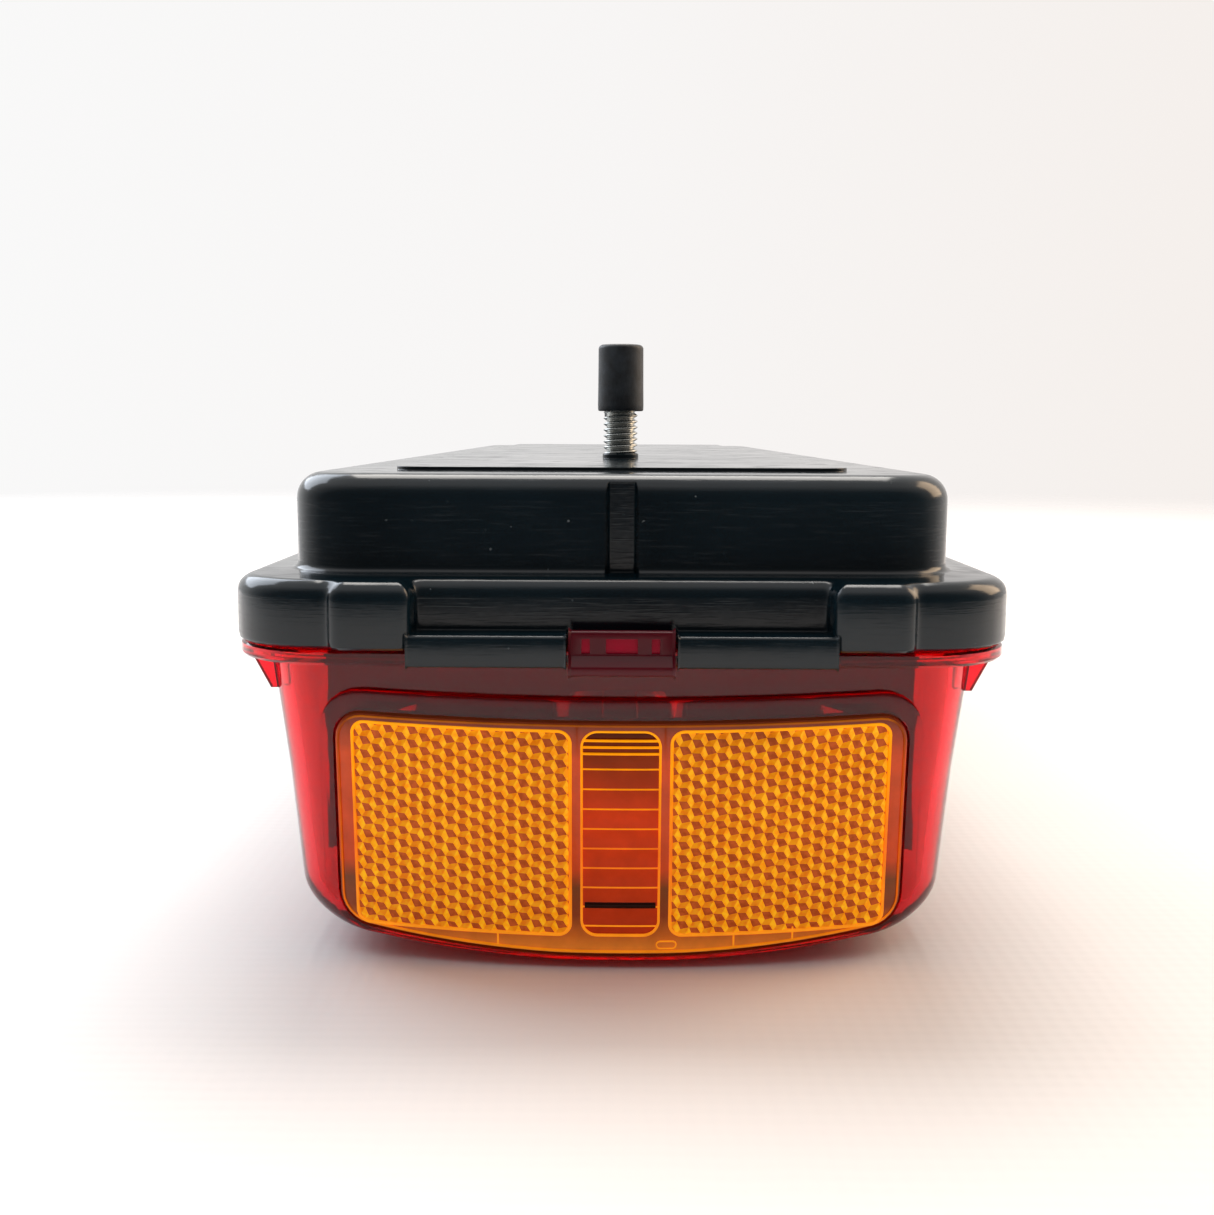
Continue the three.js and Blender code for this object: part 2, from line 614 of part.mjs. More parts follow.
function housingBody() {
  const block = join(rimBlock(), bodyBlock(), snapLip());
  const padY = halfLength - PAD_END;
  const pad = prism(roundedRect(halfWidth - PAD_SIDE, padY, 4), backZ - 0.5, padZ);
  const collars = studYs.map((y) => solid(disc(COLLAR_RADIUS, backZ, padZ + COLLAR_HIGH, 0, y)));
  const cavity = prism(roundedRect(cavityX, cavityY, BODY_CORNER - SHELL), jointZ - 1, ceilingZ);
  const groove = prism(
    ring(grooveX, grooveY, CORNER - GROOVE_SIDE, GROOVE_WIDTH),
    jointZ - 1,
    jointZ + GROOVE_DEEP,
  );
  const studHoles = studYs.map((y) => solid(disc(STUD_NECK + GAP, ceilingZ - 1, padZ + 9, 0, y)));
  const bosses = screwSpots.map(([x, y]) => {
    const foot = carrierZ + CARRIER_THICK + GAP;
    const post = solid(disc(BOSS_RADIUS, foot, ceilingZ + 0.5, x, y, 16));
    return post.subtract(solid(disc(SCREW_RADIUS + GAP, foot - 1, foot + SCREW_LENGTH, x, y, 16)));
  });
  const grommetHole = solid(
    new THREE.CylinderGeometry(GROMMET_RADIUS + GAP, GROMMET_RADIUS + GAP, 20, 20)
      .translate(GROMMET_X, bodyY, grommetZ),
  );
  const shell = cut(join(block, pad, ...collars), cavity, groove, ...studHoles, ...endFlutes(), ...clipNotches());
  return cut(join(shell, ...bosses), grommetHole);
}

function grommet() {
  const profile = [
    [CABLE_RADIUS, -1.5],
    [GROMMET_FLANGE, -1.5],
    [GROMMET_FLANGE, -GAP],
    [GROMMET_RADIUS, -GAP],
    [GROMMET_RADIUS, bodyY - cavityY + GAP],
    [GROMMET_FLANGE, bodyY - cavityY + GAP],
    [GROMMET_FLANGE, bodyY - cavityY + 1.5],
    [CABLE_RADIUS, bodyY - cavityY + 1.5],
    [CABLE_RADIUS, -1.5],
  ];
  const nozzle = [
    [CABLE_RADIUS, -GROMMET_OUT],
    [CABLE_RADIUS + 0.9, -GROMMET_OUT],
    [GROMMET_FLANGE - 0.8, -1.2],
    [CABLE_RADIUS, -1.2],
    [CABLE_RADIUS, -GROMMET_OUT],
  ];
  const lathe = (pairs) =>
    solid(new THREE.LatheGeometry(pairs.map(([r, y]) => new THREE.Vector2(r, y)), 20).rotateX(Math.PI));
  return join(lathe(profile), lathe(nozzle)).translate(GROMMET_X, bodyY, grommetZ);
}

// ---- Bulb carrier: a plate with three baffles, and an arch behind the side reflector ----
function carrierBody() {
  const plate = prism(roundedRect(cavityX - GAP, cavityY - GAP, BODY_CORNER - SHELL), carrierZ, carrierZ + CARRIER_THICK);
  const low = LENS_WALL + BAFFLE_CLEAR;
  const footX = cavityX - (carrierZ - low) * DRAFT;
  const shape = new THREE.Shape();
  shape.moveTo(-cavityX + 1, carrierZ + 0.5);
  shape.lineTo(-footX + 1, low + EDGE_SIDE);
  shape.lineTo(-footX + EDGE_SIDE, low);
  shape.lineTo(footX - EDGE_SIDE, low);
  shape.lineTo(footX - 1, low + EDGE_SIDE);
  shape.lineTo(cavityX - 1, carrierZ + 0.5);
  shape.closePath();
  const baffles = baffleYs.map((y) => beam(shape, y - BAFFLE_THICK / 2, y + BAFFLE_THICK / 2));
  const legX = reflectorX + FRAME_BORDER;
  const legLow = low + EDGE_SIDE;
  const arch = new THREE.Shape();
  arch.moveTo(-legX, carrierZ + 0.5);
  arch.lineTo(-legX, legLow);
  arch.lineTo(-legX + 1.6, legLow);
  arch.lineTo(-legX + 1.6, carrierZ - 13);
  arch.quadraticCurveTo(0, carrierZ - 4, legX - 1.6, carrierZ - 13);
  arch.lineTo(legX - 1.6, legLow);
  arch.lineTo(legX, legLow);
  arch.lineTo(legX, carrierZ + 0.5);
  arch.closePath();
  const archY = -cavityY + GAP + 4;
  const holes = bulbYs.map((y) => solid(disc(holderRadius + GAP, carrierZ - 1, carrierZ + CARRIER_THICK + 1, 0, y)));
  const screwHoles = screwSpots.map(([x, y]) =>
    solid(disc(SCREW_RADIUS + GAP, carrierZ - 1, carrierZ + CARRIER_THICK + 1, x, y, 16)),
  );
  return cut(join(plate, ...baffles, beam(arch, archY, archY + BAFFLE_THICK, 8)), ...holes, ...screwHoles);
}

// ---- Bayonet holder: a sleeve with two J slots ----
function holderShell(y) {
  const inner = holderRadius - HOLDER_WALL;
  const top = holderZ + HOLDER_HIGH;
  const flangeTop = carrierZ - GAP;
  const sleeve = solid(
    turned(
      [
        [inner, holderZ],
        [holderRadius, holderZ],
        [holderRadius, flangeTop - 1],
        [holderFlange, flangeTop - 1],
        [holderFlange, flangeTop],
        [holderRadius, flangeTop],
        [holderRadius, top],
        [inner, top],
        [inner, holderZ],
      ],
      0,
      0,
    ),
  );
  // The pins rest at -X and +X and turn back by TURN_DEG to the open mouths.
  const half = SLOT_WIDTH / 2;
  const reach = holderFlange + 1;
  const mouth = box(-reach, reach, -half, half, holderZ - 1, pinZ + half).rotate([0, 0, TURN_DEG]);
  const steps = 5;
  const turnSlot = Array.from({ length: steps }, (_, i) =>
    box(-reach, reach, -half, half, pinZ - half, pinZ + half).rotate([0, 0, (TURN_DEG * i) / (steps - 1)]),
  );
  return cut(sleeve, mouth, ...turnSlot).translate(0, y, 0);
}

function bulbBase(y) {
  const top = glassZ + BASE_HIGH;
  const body = solid(
    turned(
      [
        [0, glassZ],
        [BASE_RADIUS, glassZ],
        [BASE_RADIUS, top - 1],
        [BASE_RADIUS - 1, top],
        [2.4, top],
        [2, top + NUB_HIGH],
        [0, top + NUB_HIGH],
      ],
      0,
      0,
    ),
  );
  const reach = holderRadius - 0.2;
  const pins = solid(
    new THREE.CylinderGeometry(PIN_RADIUS, PIN_RADIUS, 2 * reach, 10).rotateZ(Math.PI / 2).translate(0, 0, pinZ),
  );
  return body.add(pins).translate(0, y, 0);
}

// The envelope: a stem that widens to a globe. It is solid here.
function bulbEnvelope(y) {
  const top = glassZ - GAP;
  const neck = BASE_RADIUS - 0.5;
  const middle = top - GLASS_HIGH + GLASS_RADIUS;
  const profile = [];
  for (let i = 0; i <= 6; i++) {
    const a = -Math.PI / 2 + (Math.PI / 2) * (i / 6);
    profile.push([GLASS_RADIUS * Math.cos(a), middle + GLASS_RADIUS * Math.sin(a)]);
  }
  profile[0][0] = 0;
  profile.push([GLASS_RADIUS * 0.94, middle + 4.4], [neck + 1.2, middle + 10.5], [neck, top - 5], [neck, top], [0, top]);
  return solid(turned(profile, 0, 0)).translate(0, y, 0);
}

function contactSpring(y) {
  const turns = 2.5;
  class Helix extends THREE.Curve {
    getPoint(t, target = new THREE.Vector3()) {
      const a = t * turns * 2 * Math.PI;
      const r = SPRING_RADIUS;
      const z = springZ + SPRING_WIRE + t * (SPRING_HIGH - 2 * SPRING_WIRE);
      return target.set(r * Math.cos(a), r * Math.sin(a), z);
    }
  }
  const wire = new THREE.Shape().absarc(0, 0, SPRING_WIRE, 0, 2 * Math.PI);
  const coil = new THREE.ExtrudeGeometry(wire, { steps: 22, curveSegments: 3, extrudePath: new Helix() });
  return solid(coil).translate(0, y, 0);
}

// ---- Studs ----
function stud(y) {
  const headTop = ceilingZ - ORING_THICK - 2 * GAP;
  const hexagon = new THREE.CylinderGeometry(HEAD_FLATS / Math.sqrt(3), HEAD_FLATS / Math.sqrt(3), HEAD_THICK, 6)
    .rotateX(Math.PI / 2)
    .translate(0, 0, headTop - HEAD_THICK / 2);
  const threadZ = padZ + COLLAR_HIGH + GAP;
  const tip = padZ + STUD_OUT;
  const shank = turned(
    [
      [0, headTop - 1],
      [STUD_NECK, headTop - 1],
      [STUD_NECK, threadZ],
      [STUD_RADIUS, threadZ],
      [STUD_RADIUS, tip - 0.7],
      [STUD_RADIUS - 0.7, tip],
      [0, tip],
    ],
    0,
    0,
    20,
  );
  return solid(hexagon).add(solid(shank)).translate(0, y, 0);
}

function studCap(y) {
  const top = padZ + STUD_OUT + GAP + CAP_END;
  const low = top - CAP_LENGTH;
  const inner = CAP_RADIUS - CAP_WALL;
  return turned(
    [
      [inner, low],
      [CAP_RADIUS, low],
      [CAP_RADIUS, top - 0.6],
      [CAP_RADIUS - 0.6, top],
      [0, top],
      [0, top - CAP_END],
      [inner, top - CAP_END],
      [inner, low],
    ],
    0,
    y,
    20,
  );
}

function carrierScrew([x, y]) {
  const headTop = carrierZ - GAP;
  return turned(
    [
      [0, headTop - 2],
      [SCREW_HEAD * 0.7, headTop - 2],
      [SCREW_HEAD, headTop - 0.8],
      [SCREW_HEAD, headTop],
      [SCREW_RADIUS, headTop],
      [SCREW_RADIUS, headTop + SCREW_LENGTH - 2],
      [0, headTop + SCREW_LENGTH],
    ],
    x,
    y,
    12,
  );
}

// ---- Assembly ----
const lamp = new THREE.Group();
const add = (name, shape, material) => {
  const geometry = shape instanceof THREE.BufferGeometry ? shape : toGeometry(shape);
  const mesh = new THREE.Mesh(geometry, material);
  mesh.name = name;
  lamp.add(mesh);
};

add("lens", lensBody(), redLens);
add("turn_lens", lensSection(sectionYs.turn), amberLens);
add("reverse_lens", lensSection(sectionYs.reverse), clearLens);
add("side_reflector", sideReflector(), amberLens);
add("housing", housingBody(), blackPlastic);
add("bulb_carrier", carrierBody(), carrierPlastic);
const sealTop = jointZ + GROOVE_DEEP - GAP;
add(
  "lens_seal",
  prism(ring(grooveX, grooveY, CORNER - GROOVE_SIDE, GROOVE_WIDTH - 2 * GAP), sealTop - SEAL_THICK, sealTop),
  blackRubber,
);
add("cable_grommet", grommet(), blackRubber);

bulbYs.forEach((y, i) => {
  const name = bulbNames[i];
  add(`holder_${name}`, holderShell(y), nickelBrass);
  add(`bulb_base_${name}`, bulbBase(y), nickelBrass);
  add(`bulb_glass_${name}`, bulbEnvelope(y), name === "turn" ? amberLens : bulbGlass);
  add(`contact_disc_${name}`, disc(holderRadius - HOLDER_WALL - 2 * GAP, discZ, discZ + DISC_THICK, 0, y), phenolic);
  add(`contact_spring_${name}`, contactSpring(y), springSteel);
  add(`feed_strip_${name}`, box(-3.5, 3.5, y - 12, y + 12, stripZ, stripZ + STRIP_THICK), brassStrip);
});

const groundX = holderRadius + 1.5;
const groundZ = carrierZ + CARRIER_THICK + GAP;
add(
  "ground_strip",
  box(groundX, groundX + 6, bulbYs[0] - 8, bulbYs[CHAMBERS - 1] + 8, groundZ, groundZ + STRIP_THICK),
  brassStrip,
);
screwSpots.forEach((spot, i) => add(`carrier_screw_${i + 1}`, carrierScrew(spot), zincSteel));

studYs.forEach((y, i) => {
  add(`stud_${i + 1}`, stud(y), zincSteel);
  const low = ceilingZ - GAP - ORING_THICK;
  const washer = new THREE.Shape().absarc(0, 0, 4.8, 0, 2 * Math.PI);
  washer.holes.push(new THREE.Path().absarc(0, 0, STUD_NECK + GAP, 0, 2 * Math.PI));
  add(`stud_seal_${i + 1}`, prism(washer, low, low + ORING_THICK, 10).translate(0, y, 0), blackRubber);
  add(`stud_cap_${i + 1}`, studCap(y), blackRubber);
});

export default lamp;
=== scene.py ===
"""The looks of a rear combination lamp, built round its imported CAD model.

The lamp lies on its lens. Every length is in millimetres until a mesh is made, and every place comes
from the frame. X is across the lamp, Y along it away from the viewer, Z up through its studs.
"""

import functools
import math

import bmesh
import bpy
from mathutils import Matrix, Vector


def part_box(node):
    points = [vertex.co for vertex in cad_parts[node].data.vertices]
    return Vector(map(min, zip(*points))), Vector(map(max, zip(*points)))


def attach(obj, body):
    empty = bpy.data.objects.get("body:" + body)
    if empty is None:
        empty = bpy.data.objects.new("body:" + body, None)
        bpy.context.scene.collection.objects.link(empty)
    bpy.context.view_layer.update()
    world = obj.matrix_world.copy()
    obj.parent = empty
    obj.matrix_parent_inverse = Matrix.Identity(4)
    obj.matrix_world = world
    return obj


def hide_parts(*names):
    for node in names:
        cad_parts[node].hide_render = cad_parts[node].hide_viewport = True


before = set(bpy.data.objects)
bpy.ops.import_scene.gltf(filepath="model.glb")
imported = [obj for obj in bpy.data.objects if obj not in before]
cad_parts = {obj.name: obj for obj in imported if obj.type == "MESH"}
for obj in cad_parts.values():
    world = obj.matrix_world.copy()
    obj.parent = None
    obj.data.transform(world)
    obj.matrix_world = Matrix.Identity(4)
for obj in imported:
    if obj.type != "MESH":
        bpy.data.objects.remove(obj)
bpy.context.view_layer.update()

MM = 0.001


# ---- Sizes ----
def node_box(node):
    """A node's lowest and highest corners, in millimetres."""
    low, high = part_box(node)
    return Vector(low) / MM, Vector(high) / MM


lens_high = node_box("lens")[1]
housing_low, housing_high = node_box("housing")
stud_low, stud_high = node_box("stud_1")
cap_low, cap_high = node_box("stud_cap_1")
seal_low, seal_high = node_box("lens_seal")

GAP = 0.3  # air between neighbouring pieces
SHOULDER_OUT = 1.8  # shoulders and lip past the flange's end
LIP_DROP = 2.0  # lip below the rim
LIP_THICK = 1.5
SHELF_THICK = 1.9
RIM_HEIGHT = 8.2
RIM_ROUND = 2.3
RIM_CORNER = 12.4
BODY_SIDE = 6.2  # housing box inside the rim's side
BODY_END = 9.4
BODY_CORNER = 10.0
BODY_ROUND = 3.4
SHELL = 2.2
FOOT_FILLET = 1.0
PAD_SIDE = 18.0
PAD_END = 24.0
PAD_RISE = 0.5
COLLAR_HIGH = 1.0
COLLAR_RADIUS = 3.1
FLUTE_WIDTH = 4.2
FLUTE_DEEP = 1.5
RECESS_SIDE = 23.7  # shoulder's inner face inside the rim's side
RECESS_BACK = 3.4
FLANGE_THICK = 1.8
FLANGE_SIDE = 2.5
FLANGE_END = 3.3
FLANGE_CORNER = 14.0
LENS_WALL = 2.0
DRAFT = math.tan(math.radians(5.8))
CROWN_RADIUS = 230.0
CROWN_FLAT = 7.0
END_RADIUS = 140.0
EDGE_SIDE = 7.5
EDGE_END = 2.5
EDGE_HIGH = 5.5
CLIP_WIDTH = 12.7
CLIP_RISE = 2.5
CLIP_LEDGE = 1.5
REFLECTOR_SIDE = 12.6
REFLECTOR_TOP = 7.4
REFLECTOR_HIGH = 30.8
REFLECTOR_CORNER = 3.6
FRAME_BORDER = 2.2
FRAME_FOOT = 1.1
FRAME_TOP = 4.4
FRAME_RISE = 1.0
POCKET_DEEP = 1.9
WINDOW_WIDTH = 9.8
FIELD_BORDER = 1.4
FIELD_MARGIN = 2.3
FIELD_TOP = 1.1
FIELD_HIGH = 27.1
FIELD_CORNER = 1.6
FIELD_EDGE = 0.5  # bead round each field
WINDOW_CORNER = 2.0
PRISM_FLATS = 1.79  # a reflex prism across its flats
PRISM_TIP = 0.26  # how far a prism's point is tipped down, as a share of its reach
PRISM_SQUASH = 0.14  # depth that a prism shows through the acrylic in front of it
STUD_RADIUS = 2.95  # M6
THREAD_PITCH = 1.0
THREAD_DEEP = 0.58
HEAD_FLATS = 10.0
GROOVE_THICK = 2.6  # seal groove
SEAL_RIB_THICK = 1.4
BOSS_RADIUS = 3.6
BOSS_BORE = 1.8
BOSS_BORE_DEEP = 11.0
GROMMET_BORE = 3.7
SECTION_SIDE = 14.7  # opening for a coloured section inside the flange's side
SECTION_HALF = 34.8
SECTION_CORNER = 4.3
SEAL_CORNER = 9.6  # radius of the seal's middle line
WEDGE_DROP = 5.4  # wedge rib's foot below the flange
FINE_RIDGES = (1.2, 0.85, 3)  # first one below the window's top, spacing, number
EVEN_RIDGES = (4.9, 2.62, 9)
DARK_STEP_DOWN = 23.1
GLASS_THICK = 0.6
LENS_FOCUS = 42.85  # camera's focal length on a 36 mm frame
CAMERA_BACK = 171.6  # from the near end
CAMERA_ABOVE = 5.9  # above the housing's back
CAMERA_TILT = 7.12  # degrees down

half_width = lens_high.x
half_length = housing_high.y - SHOULDER_OUT
joint_z = housing_low.z + LIP_DROP
lens_top = joint_z - GAP
flange_z = lens_top - FLANGE_THICK
pad_z = housing_high.z - COLLAR_HIGH
back_z = pad_z - PAD_RISE
rim_top_z = joint_z + RIM_HEIGHT
ceiling_z = back_z - SHELL
body_x = half_width - BODY_SIDE
body_y = half_length - BODY_END
wall_x = half_width - FLANGE_SIDE
wall_y = half_length - FLANGE_END
recess_x = half_width - RECESS_SIDE
recess_y = half_length - RECESS_BACK
lip_in_y = half_length + GAP
lip_out_y = lip_in_y + LIP_THICK
carrier_top = node_box("bulb_carrier")[1].z
stud_ys = [(node_box(f"stud_{i}")[0].y + node_box(f"stud_{i}")[1].y) / 2 for i in (1, 2)]


# ---- Camera: near the back's height, close to one short end ----
def place_camera():
    lens = bpy.data.cameras.new("camera")
    lens.sensor_fit = "HORIZONTAL"
    lens.sensor_width = 36.0
    lens.lens = LENS_FOCUS
    lens.clip_start = 0.01
    camera = bpy.data.objects.new("camera", lens)
    bpy.context.scene.collection.objects.link(camera)
    spot = Vector((-0.9, -half_length - CAMERA_BACK, back_z + CAMERA_ABOVE)) * MM
    turn = Matrix.Rotation(math.radians(0.30), 4, "Z")
    tilt = Matrix.Rotation(math.radians(90 - CAMERA_TILT), 4, "X")
    roll = Matrix.Rotation(math.radians(0.25), 4, "Z")
    camera.matrix_world = Matrix.Translation(spot) @ turn @ tilt @ roll
    bpy.context.scene.camera = camera


place_camera()


# ---- Colours and nodes ----
def colour(hex_text):
    """An sRGB hex value as a linear RGBA."""
    def linear(v):
        return v / 12.92 if v <= 0.04045 else ((v + 0.055) / 1.055) ** 2.4

    return tuple(linear(int(hex_text[i : i + 2], 16) / 255) for i in (1, 3, 5)) + (1.0,)


def add(tree, kind, inputs=None, **settings):
    """Adds a node. An input is a value, or an output socket to link from."""
    made = tree.nodes.new("ShaderNode" + kind)
    for name, value in settings.items():
        setattr(made, name, value)
    for name, value in (inputs or {}).items():
        if isinstance(value, bpy.types.NodeSocket):
            tree.links.new(value, made.inputs[name])
        else:
            made.inputs[name].default_value = value
    return made


def new_material(name):
    material = bpy.data.materials.new(name)
    material.use_nodes = True
    material.node_tree.nodes.clear()
    return material, material.node_tree


def finish_material(tree, shader):
    add(tree, "OutputMaterial", {"Surface": shader.outputs[0]})


def ramp(tree, factor, stops, interpolation="LINEAR"):
    """A colour ramp from [position, grey level or hex colour] pairs."""
    made = add(tree, "ValToRGB", {"Fac": factor})
    made.color_ramp.interpolation = interpolation
    elements = made.color_ramp.elements
    while len(elements) < len(stops):
        elements.new(0.5)
    for element, (position, value) in zip(elements, stops):
        element.position = position
        element.color = colour(value) if isinstance(value, str) else (value, value, value, 1.0)
    return made.outputs["Color"]


def per_metre(size_mm):
    """A texture scale whose features are this many millimetres across."""
    return 1 / (size_mm * MM)


def stretched(tree, size):
    """Object coordinates pressed or drawn out along each axis."""
    place = add(tree, "TexCoord")
    mapping = add(tree, "Mapping", {"Vector": place.outputs["Object"], "Scale": size})
    return mapping.outputs["Vector"]


def noise(tree, size_mm, detail=3.0, roughness=0.55, vector=None):
    inputs = {"Scale": per_metre(size_mm), "Detail": detail, "Roughness": roughness}
    if vector is None:
        vector = add(tree, "TexCoord").outputs["Object"]
    inputs["Vector"] = vector
    return add(tree, "TexNoise", inputs).outputs["Fac"]


# ---- Materials ----
def black_housing_abs():
    """Black ABS from a polished tool: deep gloss, faint orange peel, fine rubbing marks, a little dust."""
    material, tree = new_material("black_housing_abs")
    peel = noise(tree, 2.6, 2.0)
    rubbed = noise(tree, 0.35, 2.0, 0.6, stretched(tree, (0.06, 0.06, 1.0)))
    marks = ramp(tree, rubbed, [(0.52, 0.0), (0.76, 1.0)])
    patches = noise(tree, 22.0, 3.0)
    dust = ramp(tree, noise(tree, 0.8, 1.0, 0.4), [(0.79, 0.0), (0.83, 1.0)])
    plastic = ramp(tree, patches, [(0.3, "#05131a"), (0.7, "#0a1d25")])
    base = add(tree, "MixRGB", {"Fac": dust, "Color1": plastic, "Color2": colour("#6a7073")})
    drift = {"Value": patches, "From Min": 0.3, "From Max": 0.7, "To Min": 0.11, "To Max": 0.17}
    rough = add(tree, "MapRange", drift)
    rough = add(tree, "MixRGB", {"Fac": marks, "Color1": rough.outputs[0], "Color2": (0.26, 0.26, 0.26, 1)})
    rounded = add(tree, "Bevel", {"Radius": 0.25 * MM}, samples=4)
    scratched = {"Strength": 0.10, "Distance": 0.05 * MM, "Height": marks, "Normal": rounded.outputs[0]}
    bump = add(tree, "Bump", scratched)
    peeled = {"Strength": 0.16, "Distance": 0.12 * MM, "Height": peel, "Normal": bump.outputs[0]}
    bump = add(tree, "Bump", peeled)
    finish = {"Base Color": base.outputs[0], "Roughness": rough.outputs[0], "IOR": 1.46}
    finish_material(tree, add(tree, "BsdfPrincipled", {**finish, "Normal": bump.outputs[0]}))
    return material


def clear_acrylic(name, tint, shadow_tint, cloud=0.02, rough=0.04, shine=0.5, ior=1.49):
    """Cast acrylic, dyed through: it bends light, and lamps reach through it as a coloured pool."""
    material, tree = new_material(name)
    scratches = noise(tree, 0.3, 2.0, 0.6, stretched(tree, (0.1, 0.1, 1.0)))
    haze = ramp(tree, scratches, [(0.55, 0.0), (0.8, 1.0)])
    hazed = {"Value": haze, "From Min": 0.0, "From Max": 1.0, "To Min": rough, "To Max": rough + 0.18}
    roughness = add(tree, "MapRange", hazed)
    bump = add(tree, "Bump", {"Strength": 0.12, "Distance": 0.1 * MM, "Height": noise(tree, 3.5, 2.0)})
    shader = add(
        tree,
        "BsdfPrincipled",
        {
            "Base Color": colour(tint),
            "Roughness": roughness.outputs[0],
            "IOR": ior,
            "Transmission Weight": 1.0 - cloud,
            "Specular IOR Level": shine,
            "Normal": bump.outputs[0],
        },
    )
    through = add(tree, "BsdfTransparent", {"Color": colour(shadow_tint)})
    light_path = add(tree, "LightPath")
    shadow = light_path.outputs["Is Shadow Ray"]
    mix = add(tree, "MixShader", {0: shadow, 1: shader.outputs[0], 2: through.outputs[0]})
    finish_material(tree, mix)
    return material


def height_tones(tree, low_z, high_z, stops):
    """Colours laid from low_z to high_z up the lamp."""
    place = add(tree, "TexCoord")
    apart = add(tree, "SeparateXYZ", {"Vector": place.outputs["Object"]})
    up = {"Value": apart.outputs["Z"], "From Min": low_z * MM, "From Max": high_z * MM}
    return ramp(tree, add(tree, "MapRange", up).outputs[0], stops)


def reflex_facet(name, light, shade, housing_shade_colour, painted_glow):
    """Amber acrylic prism face with painted light: noise paints glints between two tones, painted shade darkens
    it in patches up towards the housing, and emission gives it a painted glow.
    """
    material, tree = new_material(name)
    # Painted glints: noise drifts the face between its shaded and its lit tone.
    drift = ramp(tree, noise(tree, 0.9, 2.0), [(0.36, shade), (0.62, light)])
    # Painted shade: large patches darken the face up towards the housing.
    shade_near_housing = height_tones(tree, 20.0, 36.0, [(0.0, 0.0), (0.55, 0.12), (1.0, 1.0)])
    patches = ramp(tree, noise(tree, 16.0, 1.0), [(0.45, 0.0), (0.62, 1.0)])
    share = add(tree, "MixRGB", {"Fac": 1.0, "Color1": shade_near_housing, "Color2": patches}, blend_type="MULTIPLY")
    tone = add(tree, "MixRGB", {"Fac": share.outputs[0], "Color1": drift, "Color2": colour(housing_shade_colour)})
    rough = ramp(tree, noise(tree, 0.5, 2.0), [(0.3, 0.12), (0.7, 0.3)])
    finish = {"Base Color": tone.outputs[0], "Roughness": rough, "IOR": 1.49, "Emission Color": tone.outputs[0]}
    shader = add(tree, "BsdfPrincipled", finish)
    shader.inputs["Specular IOR Level"].default_value = 0.1
    # Painted glow: the face shines in its own tone, though it is no lamp.
    shader.inputs["Emission Strength"].default_value = painted_glow
    finish_material(tree, shader)
    return material


def dyed_amber(name, stops, low_z, high_z, painted_glow, rough=0.16, shine=0.1):
    """Amber acrylic dyed through, with painted light: colours laid by height paint its bands of light and shade,
    and emission gives it a painted glow, though it is no lamp.
    """
    material, tree = new_material(name)
    tones = height_tones(tree, low_z, high_z, stops)
    drift = ramp(tree, noise(tree, 3.0, 3.0), [(0.3, 0.82), (0.7, 1.0)])
    tone = add(tree, "MixRGB", {"Fac": 1.0, "Color1": tones, "Color2": drift}, blend_type="MULTIPLY")
    flow = noise(tree, 1.5, 2.0)
    bump = add(tree, "Bump", {"Strength": 0.15, "Distance": 0.1 * MM, "Height": flow})
    roughness = ramp(tree, flow, [(0.3, rough * 0.7), (0.7, rough * 1.4)])
    finish = {"Base Color": tone.outputs[0], "Roughness": roughness, "IOR": 1.49, "Normal": bump.outputs[0]}
    shader = add(tree, "BsdfPrincipled", {**finish, "Emission Color": tone.outputs[0]})
    shader.inputs["Specular IOR Level"].default_value = shine
    shader.inputs["Emission Strength"].default_value = painted_glow
    finish_material(tree, shader)
    return material


def moulded_rubber(name, tone="#14181c", worn="#2a3036"):
    """Black EPDM rubber from a matt tool: a soft sheen, a dry bloom and pinholes."""
    material, tree = new_material(name)
    bloom = noise(tree, 2.2, 4.0)
    grain = noise(tree, 0.25, 2.0)
    base = ramp(tree, bloom, [(0.35, tone), (0.75, worn)])
    rough = ramp(tree, grain, [(0.3, 0.42), (0.7, 0.62)])
    bump = add(tree, "Bump", {"Strength": 0.35, "Distance": 0.06 * MM, "Height": grain})
    shader = add(
        tree,
        "BsdfPrincipled",
        {"Base Color": base, "Roughness": rough, "IOR": 1.52, "Normal": bump.outputs[0], "Sheen Weight": 0.08},
    )
    finish_material(tree, shader)
    return material


def bare_metal(name, light, dark, rough, size_mm=1.2, lay=(1.0, 1.0, 1.0), specks=0.0):
    """A metal surface: two tones drift over it, and its rubbing follows the way it was made."""
    material, tree = new_material(name)
    drift = noise(tree, size_mm * 4, 3.0)
    rubbing = noise(tree, size_mm * 0.3, 2.0, 0.6, stretched(tree, lay))
    base = ramp(tree, drift, [(0.3, dark), (0.7, light)])
    roughness = add(
        tree,
        "MapRange",
        {"Value": rubbing, "From Min": 0.3, "From Max": 0.7, "To Min": rough * 0.7, "To Max": rough * 1.4},
    )
    bump = add(tree, "Bump", {"Strength": 0.2 + specks, "Distance": 0.03 * MM, "Height": rubbing})
    shader = add(
        tree,
        "BsdfPrincipled",
        {"Base Color": base, "Metallic": 1.0, "Roughness": roughness.outputs[0], "Normal": bump.outputs[0]},
    )
    finish_material(tree, shader)
    return material


def matt_moulding(name, tone, shade, rough=0.5):
    """A plain moulded or pressed part with a fine spark-eroded grain."""
    material, tree = new_material(name)
    grain = noise(tree, 0.4, 3.0)
    base = ramp(tree, noise(tree, 8.0, 3.0), [(0.3, shade), (0.7, tone)])
    roughness = ramp(tree, grain, [(0.3, rough - 0.1), (0.7, rough + 0.1)])
    bump = add(tree, "Bump", {"Strength": 0.25, "Distance": 0.05 * MM, "Height": grain})
    finish = {"Base Color": base, "Roughness": roughness, "IOR": 1.5, "Normal": bump.outputs[0]}
    shader = add(tree, "BsdfPrincipled", finish)
    finish_material(tree, shader)
    return material


def lamp_glass(name, tint):
    """Blown soda glass, thin and nearly colourless."""
    return clear_acrylic(name, tint, tint, cloud=0.0, rough=0.01)


black_abs = black_housing_abs()
